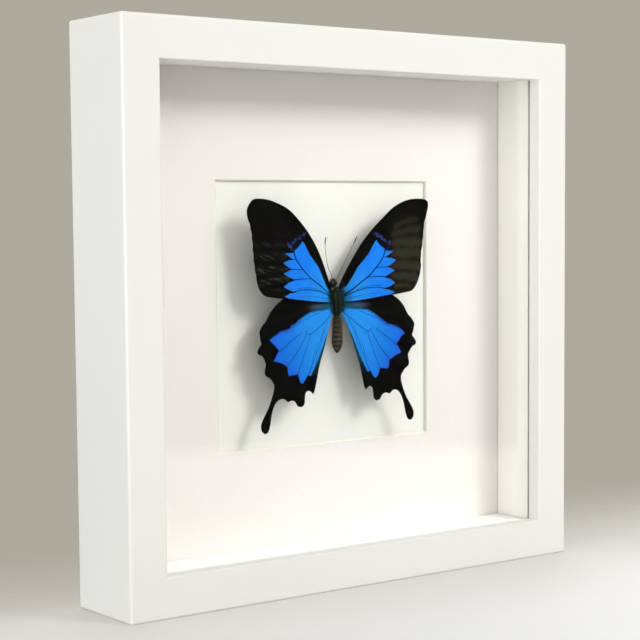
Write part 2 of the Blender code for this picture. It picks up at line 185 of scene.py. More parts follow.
# Lines on the wings: the places where each starts, passes and ends, and its half width at both ends
FOREWING_VEINS = [
    ((4.4, 1.3), (10.7, 5.8), (16.2, 9.3), 0.30, 0.28),
    ((16.2, 9.3), (21.6, 14.1), (25.1, 18.4), 0.28, 0.26),
    ((25.1, 18.4), (25.9, 20.4), (26.4, 22.4), 0.26, 0.34),
    ((16.2, 9.3), (21.7, 9.4), (28.0, 9.1), 0.15, 0.17),
    ((20.8, 13.5), (24.5, 13.7), (29.0, 13.7), 0.15, 0.17),
    ((25.1, 18.3), (27.4, 18.3), (30.0, 18.4), 0.15, 0.17),
    ((4.6, 0.9), (16.1, 4.3), (28.0, 3.5), 0.22, 0.16),
    ((9.6, 3.5), (14.5, 4.9), (24.5, 5.0), 0.09, 0.08),
    ((6.0, -0.3), (14.0, 1.2), (24.0, 1.7), 0.09, 0.05),
    ((21.7, 26.2), (24.0, 23.8), (26.4, 22.4), 0.30, 0.34),
]
FOREWING_STREAKS = [
    ((32.0, 32.3), (38.5, 34.8), (46.0, 35.8), 1.0, 1.4),
    ((30.8, 28.4), (37.5, 30.5), (46.2, 31.0), 1.4, 2.0),
    ((30.6, 24.6), (37.2, 25.5), (46.8, 25.0), 1.7, 2.3),
    ((30.8, 20.0), (38.2, 19.9), (46.4, 19.6), 2.0, 2.4),
    ((30.4, 14.3), (38.2, 14.4), (46.0, 13.5), 1.9, 2.3),
    ((29.8, 9.6), (37.6, 9.0), (44.8, 8.2), 1.6, 2.0),
    ((32.0, 4.4), (36.7, 5.0), (41.4, 4.3), 0.9, 0.9),
]
FOREWING_SPOTS = [
    ((20.4, 29.6), (21.4, 28.9), (22.6, 27.5), 0.8, 0.7),
    ((23.3, 28.0), (25.0, 26.9), (26.9, 25.2), 1.0, 0.8),
    ((29.4, 25.3), (28.4, 24.1), (27.2, 22.8), 0.9, 0.7),
]
HINDWING_VEINS = [
    ((3.2, -6.3), (9.3, -11.3), (16.4, -15.8), 0.15, 0.15),
    ((16.4, -15.8), (17.8, -15.6), (18.9, -14.2), 0.15, 0.15),
    ((4.0, -4.5), (11.0, -5.2), (17.0, -5.3), 0.24, 0.12),
    ((12.0, -6.3), (21.0, -9.6), (30.0, -14.0), 0.08, 0.07),
    ((21.7, -14.9), (27.0, -18.2), (34.0, -23.0), 0.11, 0.15),
    ((18.7, -15.6), (22.8, -21.9), (29.8, -29.6), 0.12, 0.15),
    ((16.4, -15.8), (18.8, -22.1), (23.8, -33.4), 0.11, 0.15),
    ((8.8, -13.6), (12.6, -23.1), (17.8, -34.3), 0.09, 0.14),
    ((12.6, -19.6), (14.5, -25.0), (16.9, -33.8), 0.07, 0.08),
    ((5.6, -9.0), (8.8, -16.0), (13.4, -28.6), 0.08, 0.08),
]

# The places in millimetres that the wings' fibres fan out from
FOREWING_HINGE = (1.0, 0.5)
HINDWING_HINGE = (1.0, -1.0)

# The body
THORAX_CENTRE = Vector((-0.2, 1.5, 128.4)) * MM
THORAX_SIZE = Vector((4.5, 5.8, 14.8)) * MM
HEAD_CENTRE = Vector((-1.3, 2.7, 136.8)) * MM
HEAD_SIZE = Vector((3.2, 3.0, 4.0)) * MM
EYE_RADIUS = 1.2 * MM
EYE_SPREAD = 0.9 * MM
ABDOMEN_TOP = Vector((-0.1, 1.3, 121.5)) * MM
ABDOMEN_PROFILE = [
    (0.0, 1.9), (2.5, 2.15), (6.0, 2.3), (10.0, 2.55), (12.6, 2.5), (14.8, 1.75), (16.3, 0.8),
    (17.1, 0.0),
]
ABDOMEN_LEAN = math.radians(0.7)
ABDOMEN_SEGMENTS = 8
ANTENNAE = {
    "left": [
        (-1.8, 2.3, 138.3), (-3.4, 1.4, 141.2), (-5.8, 0.3, 144.0), (-8.2, -1.3, 149.5),
        (-10.0, -3.0, 155.5), (-10.0, -3.9, 158.2),
    ],
    "right": [
        (0.2, 2.3, 138.3), (1.4, 1.4, 141.2), (2.2, 0.3, 144.0), (4.2, -1.3, 149.3), (6.8, -3.0, 155.5),
        (7.7, -3.9, 158.2),
    ],
}
ANTENNA_JOINTS = 36

# The hair. Each one has this many points.
HAIR_SEED = 11
HAIR_POINTS = 7
HEAD_HAIRS = 900
WING_ROOT_HAIRS = 300

# The stage
CAMERA_TARGET = Vector((-0.0105, 0, 0.103))
SOFTBOX_PLACE = Vector((0.344, -0.757, 0.682))
SOFTBOX_SIZE = 0.27
SOFTBOX_TINT = (1.0, 0.985, 0.955)
TABLE_RADIUS = 0.6


# ---------------------------------------------------------------- settings


class FrameSettings(PropertyGroup):
    """The frame's edges and its paint, board and paper."""

    outer_round: FloatProperty(
        name="Outer edge", description="Radius of the frame's outer edges", default=1.2 * MM, unit="LENGTH"
    )
    sight_round: FloatProperty(
        name="Sight edge", description="Radius of the opening's edge", default=0.6 * MM, unit="LENGTH"
    )
    paint: FloatVectorProperty(
        name="Paint", description="Colour of the satin paint", default=(0.95, 0.95, 0.92), subtype="COLOR"
    )
    spacer: FloatVectorProperty(
        name="Spacer", description="Colour of the spacers", default=(0.95, 0.945, 0.91), subtype="COLOR"
    )
    mat: FloatVectorProperty(
        name="Mat", description="Colour of the mat's paper face", default=(0.905, 0.868, 0.853),
        subtype="COLOR",
    )
    card: FloatVectorProperty(
        name="Card", description="Colour of the backing card", default=(0.935, 0.935, 0.89), subtype="COLOR"
    )


class SpecimenSettings(PropertyGroup):
    """The butterfly's colours and its hair."""

    azure: FloatVectorProperty(
        name="Azure", description="Blue of the forewings", default=(0.012, 0.205, 0.88), subtype="COLOR"
    )
    cyan: FloatVectorProperty(
        name="Sky blue", description="Blue near the body", default=(0.022, 0.29, 0.86), subtype="COLOR"
    )
    violet: FloatVectorProperty(
        name="Violet blue", description="Blue of the patches' outer teeth", default=(0.020, 0.11, 0.68),
        subtype="COLOR",
    )
    black: FloatVectorProperty(
        name="Black", description="Colour of the dark scales", default=(0.0022, 0.0020, 0.0014),
        subtype="COLOR",
    )
    thorax_hairs: IntProperty(name="Thorax hairs", description="Hairs on the thorax", default=6500)
    abdomen_hairs: IntProperty(name="Abdomen hairs", description="Hairs on the abdomen", default=2600)


class StageSettings(PropertyGroup):
    """The camera, lamps and floor."""

    azimuth: FloatProperty(
        name="Azimuth", description="Camera's turn round the frame", default=math.radians(-37.0),
        subtype="ANGLE",
    )
    elevation: FloatProperty(
        name="Elevation", description="Camera's angle above the horizon", default=math.radians(4.67),
        subtype="ANGLE",
    )
    roll: FloatProperty(
        name="Roll", description="Camera's roll about its own axis", default=math.radians(-0.454),
        subtype="ANGLE",
    )
    distance: FloatProperty(
        name="Distance", description="Camera's distance from its target", default=0.789, unit="LENGTH"
    )
    lens: FloatProperty(name="Lens", description="Focal length in mm on a 36 mm sensor", default=97.3)
    shift: FloatProperty(
        name="Shift", description="View's upward shift, as a share of its width", default=0.0594
    )
    key: FloatProperty(name="Key", description="Power of the softbox", default=3.5, unit="POWER")
    left: FloatProperty(name="Left", description="Light of the room to the left", default=1.2)
    front_left: FloatProperty(
        name="Front left", description="Light of the room ahead and to the left", default=1.72
    )
    above: FloatProperty(name="Above", description="Light of the room above", default=1.0)
    behind: FloatProperty(name="Behind", description="Light of the room behind the frame", default=1.1)
    wall: FloatVectorProperty(
        name="Background", description="Colour of the studio's background", default=(0.42, 0.40, 0.34),
        subtype="COLOR",
    )
    floor: FloatVectorProperty(
        name="Floor", description="Colour of the table", default=(0.96, 0.96, 0.935), subtype="COLOR"
    )


# ---------------------------------------------------------------- shader nodes


class Wire:
    """A node's output, on which ordinary arithmetic builds Math nodes."""

    def __init__(self, finish, socket):
        self.finish = finish
        self.socket = socket

    def maths(self, operation, *others):
        """One Math node on this wire and the others."""
        return self.finish.maths(operation, self, *others)

    def __add__(self, other):
        return self.maths("ADD", other)

    def __sub__(self, other):
        return self.maths("SUBTRACT", other)

    def __rsub__(self, other):
        return self.finish.maths("SUBTRACT", other, self)

    def __mul__(self, other):
        return self.maths("MULTIPLY", other)

    def __truediv__(self, other):
        return self.maths("DIVIDE", other)

    def __abs__(self):
        return self.maths("ABSOLUTE")

    __radd__ = __add__
    __rmul__ = __mul__


class Finish:
    """A material whose nodes are all made by one method."""

    def __init__(self, name, tree=None):
        if tree is None:
            self.material = bpy.data.materials.new(name)
            self.material.use_nodes = True
            tree = self.material.node_tree
        self.tree = tree
        self.tree.nodes.clear()

    def node(self, kind, settings, sockets, output=0):
        """Adds a node, its settings first and then its sockets' values or wires. Returns one output."""
        made = self.tree.nodes.new(kind)
        for name, value in settings.items():
            if name == "stops":
                self.set_stops(made.color_ramp, value)
            else:
                setattr(made, name, value)
        for key, value in sockets.items():
            if isinstance(value, Wire):
                self.tree.links.new(value.socket, made.inputs[key])
            else:
                made.inputs[key].default_value = value
        return Wire(self, made.outputs[output]) if made.outputs else made

    @staticmethod
    def set_stops(ramp, stops):
        """Gives a colour ramp these (position, colour) stops."""
        while len(ramp.elements) < len(stops):
            ramp.elements.new(1.0)
        for element, (position, colour) in zip(ramp.elements, stops):
            element.position = position
            element.color = (*colour, 1)

    def maths(self, operation, *values):
        """One Math node on these numbers and wires."""
        return self.node("ShaderNodeMath", {"operation": operation}, dict(enumerate(values)))

    def place(self):
        """The piece's own coordinates, in metres."""
        return self.node("ShaderNodeTexCoord", {}, {}, "Object")

    def scaled(self, vector, scale):
        """A vector times a number, or times three."""
        factors = (scale, scale, scale) if isinstance(scale, (int, float)) else scale
        return self.node("ShaderNodeVectorMath", {"operation": "MULTIPLY"}, {0: vector, 1: factors})

    def axes(self, vector):
        """A vector's three numbers."""
        x = self.node("ShaderNodeSeparateXYZ", {}, {0: vector})
        return x, Wire(self, x.socket.node.outputs[1]), Wire(self, x.socket.node.outputs[2])

    def joined(self, x, y, z=0.0):
        """A vector of three numbers."""
        return self.node("ShaderNodeCombineXYZ", {}, {0: x, 1: y, 2: z})

    def dot(self, vector, way):
        """How far a place lies along a direction, which on a wing has two numbers."""
        sockets = {0: vector, 1: (*way, 0.0)[:3]}
        return self.node("ShaderNodeVectorMath", {"operation": "DOT_PRODUCT"}, sockets, "Value")

    def value(self, name):
        """A number that is stored at the mesh's points."""
        return self.node("ShaderNodeAttribute", {"attribute_name": name}, {}, "Fac")

    def noise(self, vector, scale, detail=2.0, roughness=0.5):
        """Smooth noise from 0 to 1, about 0.5."""
        sockets = {"Vector": vector, "Scale": scale, "Detail": detail, "Roughness": roughness}
        return self.node("ShaderNodeTexNoise", {}, sockets)

    def cells(self, vector, scale):
        """How far a place lies from the middle of its cell, in a packing of round cells."""
        return self.node("ShaderNodeTexVoronoi", {}, {"Vector": vector, "Scale": scale}, "Distance")

    def step(self, value, low, high):
        """0 below low and 1 above high, with a smooth turn between them."""
        sockets = {"Value": value, "From Min": low, "From Max": high}
        return self.node("ShaderNodeMapRange", {"interpolation_type": "SMOOTHSTEP"}, sockets)

    def ease(self, value, first, last):
        """A number that runs from first to last as the value goes from 0 to 1."""
        return self.node("ShaderNodeMapRange", {}, {"Value": value, "To Min": first, "To Max": last})

    def mix(self, share, first, second):
        """A colour between two, at a share of the second."""
        ends = [colour if isinstance(colour, Wire) else (*colour, 1) for colour in (first, second)]
        return self.node("ShaderNodeMix", {"data_type": "RGBA"}, {0: share, 6: ends[0], 7: ends[1]}, 2)

    def ramp(self, share, stops):
        """A colour that runs along (position, colour) stops."""
        return self.node("ShaderNodeValToRGB", {"stops": stops}, {0: share})

    def blend(self, share, first, second):
        """A shader between two, at a share of the second."""
        return self.node("ShaderNodeMixShader", {}, {0: share, 1: first, 2: second})

    def bump(self, height, strength, distance):
        """A normal that is bumped by a height from 0 to 1."""
        sockets = {"Strength": strength, "Distance": distance, "Height": height}
        return self.node("ShaderNodeBump", {}, sockets)

    def principled(self, sockets):
        """The Principled shader with these sockets."""
        return self.node("ShaderNodeBsdfPrincipled", {}, sockets)

    def finish(self, shader):
        """Sends a shader to the surface, and returns the material."""
        self.node("ShaderNodeOutputMaterial", {}, {"Surface": shader})
        return self.material

    def paint(self, colour, roughness, shine, relief=None, **others):
        """Finishes the material with one Principled shader.

        Its shine is the specular level, and its relief is a height with a bump's strength and depth.
        """
        sockets = {"Base Color": colour, "Roughness": roughness, "Specular IOR Level": shine, **others}
        if relief is not None:
            sockets["Normal"] = self.bump(*relief)
        return self.finish(self.principled(sockets))

    def strand(self, place, line):
        """How far a place lies from a bowed line, as a share of the line's half width.

        The line is the parabola that runs from its first point, through its middle one, to its last.
        """
        first, middle, last = (np.array(point) for point in line[:3])
        length = float(np.hypot(*(last - first)))
        way = (last - first) / length
        across = np.array((-way[1], way[0]))
        share = (middle - first) @ way / length
        bow = (middle - first) @ across / (share * (1 - share))
        along = self.dot(place, way / length) - float(first @ way) / length
        held = self.node("ShaderNodeClamp", {}, {0: along})
        aside = self.dot(place, across) - float(first @ across) - held * (1 - held) * float(bow)
        beyond = abs(along - held) * length
        return (abs(aside) + beyond) / self.ease(held, line[3], line[4])

    def strands(self, place, lines):
        """The nearest of several bowed lines, as a share of its half width."""
        nearest = self.strand(place, lines[0])
        for line in lines[1:]:
            nearest = nearest.maths("MINIMUM", self.strand(place, line))
        return nearest


# ---------------------------------------------------------------- meshes


def make_mesh(name, points, *groups):
    """A mesh from points (n, 3) and groups of faces, each an array (n, corners)."""
    mesh = bpy.data.meshes.new(name)
    mesh.vertices.add(len(points))
    mesh.vertices.foreach_set("co", np.asarray(points, np.float32).ravel())
    corners = np.concatenate([group.ravel() for group in groups])
    sizes = np.concatenate([np.full(len(group), group.shape[1]) for group in groups])
    mesh.loops.add(len(corners))
    mesh.loops.foreach_set("vertex_index", corners.astype(np.int32))
    mesh.polygons.add(len(sizes))
    mesh.polygons.foreach_set("loop_start", (np.cumsum(sizes) - sizes).astype(np.int32))
    mesh.update(calc_edges=True)
    return mesh


def grid_faces(rows, columns, wrap_rows=False, wrap_columns=False):
    """Quads of a grid of points stored row by row, closed in either direction if asked."""
    row = np.arange(rows if wrap_rows else rows - 1)
    column = np.arange(columns if wrap_columns else columns - 1)
    row, column = np.meshgrid(row, column, indexing="ij")
    below, beside = (row + 1) % rows, (column + 1) % columns
    above, under = row * columns, below * columns
    corners = (above + column, above + beside, under + beside, under + column)
    return np.stack(corners, axis=-1).reshape(-1, 4)


def sheet_mesh(name, points, closed=False):
    """A mesh over a grid of points (rows, columns, 3), closed round every row if asked."""
    return make_mesh(name, points.reshape(-1, 3), grid_faces(*points.shape[:2], wrap_columns=closed))


def weld(mesh, distance=1e-7, recalculate=True):
    """Merges points that coincide, and turns a closed mesh's faces outwards."""
    bm = bmesh.new()
    bm.from_mesh(mesh)
    bmesh.ops.remove_doubles(bm, verts=bm.verts, dist=distance)
    if recalculate:
        bmesh.ops.recalc_face_normals(bm, faces=bm.faces)
    bm.to_mesh(mesh)
    bm.free()
    return mesh


def read_points(mesh):
    """A mesh's points as an array (n, 3)."""
    points = np.empty(len(mesh.vertices) * 3, np.float32)
    mesh.vertices.foreach_get("co", points)
    return points.reshape(-1, 3).astype(float)


def store(mesh, name, values):
    """Keeps a number at each of a mesh's points, for its material."""
    attribute = mesh.attributes.new(name, "FLOAT", "POINT")
    attribute.data.foreach_set("value", np.asarray(values, np.float32).ravel())


def show(name, data):
    """An object in the scene."""
    made = bpy.data.objects.new(name, data)
    bpy.context.scene.collection.objects.link(made)
    return made


def aim(made, place, way, roll=0.0):
    """Puts a lamp or a camera at a place, and turns it to look along a direction."""
    made.location = place
    made.rotation_mode = "QUATERNION"
    made.rotation_quaternion = way.to_track_quat("-Z", "Y") @ Quaternion((0, 0, 1), roll)


def add_piece(name, mesh, materials, stands_for=(), sharp=None):
    """Makes a shown piece that rides on the frame, smooth but for edges past an angle in degrees."""
    piece = show(name, mesh)
    for material in materials:
        mesh.materials.append(material)
    mesh.shade_smooth()
    if sharp is not None:
        mesh.set_sharp_from_angle(angle=math.radians(sharp))
    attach(piece, ROOT)
    if stands_for:
        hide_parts(*stands_for)
    return piece


def dress(node, material):
    """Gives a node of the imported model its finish."""
    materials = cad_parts[node].data.materials
    materials.clear()
    materials.append(material)


def modify(piece, kind, **settings):
    """Adds a modifier with these settings."""
    modifier = piece.modifiers.new(kind.lower(), kind)
    for name, value in settings.items():
        setattr(modifier, name, value)


def unit(vectors):
    """Vectors made one long."""
    return vectors / np.linalg.norm(vectors, axis=-1, keepdims=True)


def turns(count):
    """Angles that are evenly spread over one turn."""
    return np.linspace(0, 2 * math.pi, count, endpoint=False)


def smooth(value):
    """A smooth rise from 0 to 1 as the value goes from 0 to 1."""
    value = np.clip(value, 0, 1)
    return value**2 * (3 - 2 * value)


def spline(points, count):
    """Count places on a Catmull-Rom curve through the given points, evenly spaced along it."""
    points = np.asarray(points, float)
    ends = np.vstack([2 * points[0] - points[1], points, 2 * points[-1] - points[-2]])
    t = np.linspace(0, 1, 24, endpoint=False)[:, None]
    spans = [
        0.5 * (2 * b + (c - a) * t + (2 * a - 5 * b + 4 * c - d) * t**2 + (3 * (b - c) + d - a) * t**3)
        for a, b, c, d in zip(ends, ends[1:], ends[2:], ends[3:])
    ]
    curve = np.vstack([*spans, points[-1:]])
    return evenly(curve, count)


def evenly(curve, count):
    """Count places evenly spaced along a line of points."""
    length = np.concatenate([[0], np.cumsum(np.linalg.norm(np.diff(curve, axis=0), axis=1))])
    at = np.linspace(0, length[-1], count)
    return np.stack([np.interp(at, length, curve[:, k]) for k in range(curve.shape[1])], axis=1)


def rounded_loop(corners):
    """A closed outline of square corners, each (x, y, radius), with a quarter round at every corner."""
    places = [np.array(corner[:2]) for corner in corners]
    angle = np.linspace(0, math.pi / 2, 9)[:, None]
    loop = []
    for i, (corner, (_, _, radius)) in enumerate(zip(places, corners)):
        before = places[i - 1] - corner
        after = places[(i + 1) % len(places)] - corner
        before, after = before / np.linalg.norm(before), after / np.linalg.norm(after)
        centre = corner + radius * (before + after)
        loop.append(centre - radius * (after * np.cos(angle) + before * np.sin(angle)))
    return np.vstack(loop)


def turned(radius, height, steps):
    """A profile turned about +Z, as a grid: x and y are its radius times the angle's cosine and sine."""
    radius, height, angle = np.broadcast_arrays(radius[:, None], height[:, None], turns(steps))
    return np.stack([radius * np.cos(angle), radius * np.sin(angle), height], axis=-1)


def tube_mesh(name, path, radii, steps):
    """A tube along a path: rings of one radius per point, square to the path, closed at both ends."""
    path = np.vstack([path[:1], path, path[-1:]])
    radii = np.concatenate([[0], radii, [0]])
    way = np.gradient(path, axis=0)
    way[0], way[-1] = way[1], way[-2]
    ring = rings(unit(way), (0.0, 1.0, 0.0), turns(steps))
    return weld(sheet_mesh(name, path[:, None] + radii[:, None, None] * ring, closed=True))


def rings(ways, guide, angles):
    """Unit circles square to each direction, which start square to a guide too."""
    side = unit(np.cross(ways, guide))
    other = np.cross(ways, side)
    return np.cos(angles)[:, None] * side[:, None] + np.sin(angles)[:, None] * other[:, None]


def hair_mesh(name, roots, ways, lengths, width, droop):
    """Tapered three-sided hairs: a ring at the root, a thinner one half way, and a point at the tip.

    The middle lies 0.55 of the length along the hair's way, and the tip all of it, moved by droop
    times the length. Lengths and the width are in millimetres.
    """
    ways = unit(ways)
    ring = rings(ways, (0.31, 0.52, 0.79), np.arange(3) * 2 * math.pi / 3) * (width * MM)
    reach = ways * (lengths * MM)[:, None]
    sag = np.asarray(droop) * (lengths * MM)[:, None]
    middle = roots + reach * 0.55 + sag * 0.3
    points = np.empty((len(roots), HAIR_POINTS, 3))
    points[:, 0:3] = roots[:, None] + ring
    points[:, 3:6] = middle[:, None] + ring * 0.7
    points[:, 6] = roots + reach + sag
    first = np.arange(len(roots))[:, None, None] * HAIR_POINTS
    quads = first + np.array([(0, 1, 4, 3), (1, 2, 5, 4), (2, 0, 3, 5)])
    tips = first + np.array([(3, 4, 6), (4, 5, 6), (5, 3, 6), (0, 2, 1)])
    return make_mesh(name, points.reshape(-1, 3), quads.reshape(-1, 4), tips.reshape(-1, 3))


def signed_distance(points, outline):
    """Each point's distance to a closed outline, positive inside it.

    The distance is the least of those to the outline's segments. A point is inside if a ray from it
    towards +u crosses an odd number of them.
    """
    start = np.asarray(outline, float)
    end = np.roll(start, -1, axis=0)
    edge = end - start
    offset = points[:, None, :] - start[None]
    share = np.clip((offset * edge).sum(2) / (edge**2).sum(1), 0, 1)
    distance = np.linalg.norm(offset - share[..., None] * edge, axis=2).min(1)
    v = points[:, 1:]
    spans = (start[:, 1] > v) != (end[:, 1] > v)
    rise = np.where(edge[:, 1] == 0, 1e-9, edge[:, 1])
    crossing = start[:, 0] + (v - start[:, 1]) * edge[:, 0] / rise
    inside = (spans & (points[:, :1] < crossing)).sum(1) % 2 == 1
    return np.where(inside, distance, -distance)


# ---------------------------------------------------------------- finishes of the frame


def shade(colour, factor):
    """A colour made darker or lighter by a factor."""
    return tuple(factor * part for part in colour)


def satin_paint(settings):
    """White satin paint: a faint roller stipple, and slight unevenness in the sheen."""
    finish = Finish("satin_paint")
    place = finish.place()
    stipple = finish.noise(place, 900.0, 2.0, 0.6)
    drift = finish.noise(place, 22.0)
    colour = finish.mix(drift, shade(settings.paint, 0.975), settings.paint)
    return finish.paint(colour, finish.ease(drift, 0.34, 0.46), 0.4, (stipple, 0.06, 0.0004))


def spacer_board(settings):
    """Paper-faced spacer strip: duller than the paint, with a fine paper tooth."""
    finish = Finish("spacer_board")
    place = finish.place()
    tooth = finish.noise(place, 2600.0, 2.0, 0.6)
    colour = finish.mix(finish.noise(place, 30.0), shade(settings.spacer, 0.97), settings.spacer)
    return finish.paint(colour, 0.7, 0.3, (tooth, 0.12, 0.0002))


def paper_face(finish, place, colour, tooth_scale):
    """A paper face's colour and its tooth: soft clouds and short fibres that lie mostly sideways."""
    fibres = finish.noise(finish.scaled(place, (0.35, 1.0, 1.0)), tooth_scale, 3.0, 0.7)
    tone = finish.mix(finish.noise(place, 45.0, 3.0), shade(colour, 0.97), colour)
    return finish.mix(finish.step(fibres, 0.35, 0.75), shade(colour, 0.955), tone), fibres


def mat_board(settings):
    """The mat: a warm white paper face, and a cream core where the window's bevel cuts through it."""
    finish = Finish("mat_board")
    place = finish.place()
    x, _, z = finish.axes(place)
    face, fibres = paper_face(finish, place, settings.mat, 1900.0)
    reach = abs(x).maths("MAXIMUM", abs(z - WINDOW_Z))
    core = 1 - finish.step(reach, WINDOW_HALF - 0.05 * MM, WINDOW_HALF + 0.02 * MM)
    grain = finish.noise(place, 4200.0, 2.0, 0.7)
    cream = finish.mix(grain, (0.76, 0.74, 0.64), (0.86, 0.85, 0.76))
    tooth = finish.ease(core, 0.0, 1.0) * (grain - fibres) + fibres
    return finish.paint(finish.mix(core, face, cream), 0.9, 0.2, (tooth, 0.25, 0.00015))


def backing_card(settings):
    """The card behind the butterfly: matte, neutral white, with a finer tooth than the mat's."""
    finish = Finish("backing_card")
    colour, fibres = paper_face(finish, finish.place(), settings.card, 3000.0)
    return finish.paint(colour, 0.85, 0.25, (fibres, 0.15, 0.0001))


def clear_glass():
    """Clear float glass, which lets lamps through."""
    finish = Finish("clear_glass")
    sockets = {"Roughness": 0.0, "IOR": 1.5, "Transmission Weight": 1.0}
    pane = finish.principled({"Base Color": (0.994, 1.0, 0.997, 1), **sockets})
    open_way = finish.node("ShaderNodeBsdfTransparent", {}, {"Color": (0.985, 0.99, 0.985, 1)})
    shadow = finish.node("ShaderNodeLightPath", {}, {}, "Is Shadow Ray")
    return finish.finish(finish.blend(shadow, pane, open_way))


def fibreboard():
    """Pressed brown board: flecks of fibre, darker and lighter, and a lightly pitted face."""
    finish = Finish("fibreboard")
    place = finish.place()
    flecks = finish.noise(finish.scaled(place, (1.0, 1.0, 0.6)), 520.0, 4.0, 0.75)
    base = finish.mix(finish.noise(place, 26.0, 3.0), (0.20, 0.115, 0.06), (0.29, 0.175, 0.095))
    colour = finish.mix(finish.step(flecks, 0.42, 0.72), base, (0.42, 0.29, 0.17))
    dark = finish.step(finish.noise(place, 1500.0), 0.62, 0.8)
    colour = finish.mix(dark, colour, (0.10, 0.055, 0.03))
    return finish.paint(colour, finish.ease(flecks, 0.55, 0.8), 0.35, (flecks, 0.3, 0.0002))


def sheet_steel():
    """Bright sheet steel: fine rolling lines and a few dull patches."""
    finish = Finish("sheet_steel")
    place = finish.place()
    lines = finish.noise(finish.scaled(place, (1.0, 1.0, 14.0)), 600.0, 2.0, 0.6)
    patches = finish.noise(place, 160.0, 3.0)
    colour = finish.mix(patches, (0.47, 0.47, 0.48), (0.66, 0.66, 0.67))
    return finish.paint(colour, finish.ease(patches, 0.26, 0.46), 0.5, (lines, 0.08, 0.0001), Metallic=1.0)


def white_foam():
    """White closed-cell foam: small round cells."""
    finish = Finish("white_foam")
    cells = finish.cells(finish.place(), 2600.0)
    colour = finish.mix(cells, (0.84, 0.84, 0.82), (0.7, 0.7, 0.67))
    return finish.paint(colour, 0.9, 0.5, (cells, 0.4, 0.0001))


# ---------------------------------------------------------------- finishes of the butterfly


def wing_place(finish):
    """The place on a wing in millimetres, (u, v), the same on both sides of the body, and its signed x."""
    x, y, z = finish.axes(finish.scaled(finish.place(), 1 / MM))
    x = x - WING_X / MM
    v = z - WING_Z / MM
    return finish.joined(abs(x), v), abs(x), v, finish.joined(x, v, y)


def wing_fibres(finish, u, v, signed, hinge, fine=70.0, slow=0.45):
    """The distance from the wing's hinge, and noise that is fast round the hinge and slow away from it."""
    x, _, _ = finish.axes(signed)
    along = (u - hinge[0]) * (u - hinge[0]) + (v - hinge[1]) * (v - hinge[1])
    radius = along.maths("SQRT")
    angle = (v - hinge[1]).maths("ARCTAN2", u - hinge[0])
    side = x.maths("SIGN") * 7.0
    return radius, finish.noise(finish.joined(angle * fine, radius * slow, side), 1.0, 3.0, 0.6)


def black_scales(finish, fibres, black):
    """The dark scales between the patches, a little uneven along the fibres."""
    return finish.mix(fibres, shade(black, 0.7), shade(black, 1.6))


def scaled_wing(finish, colour, inside, height):
    """Finishes a wing's upper side: dull, and a little less so inside the blue patch."""
    return finish.paint(colour, finish.ease(inside, 0.62, 0.5), 0.04, (height, 0.5, 0.0001))


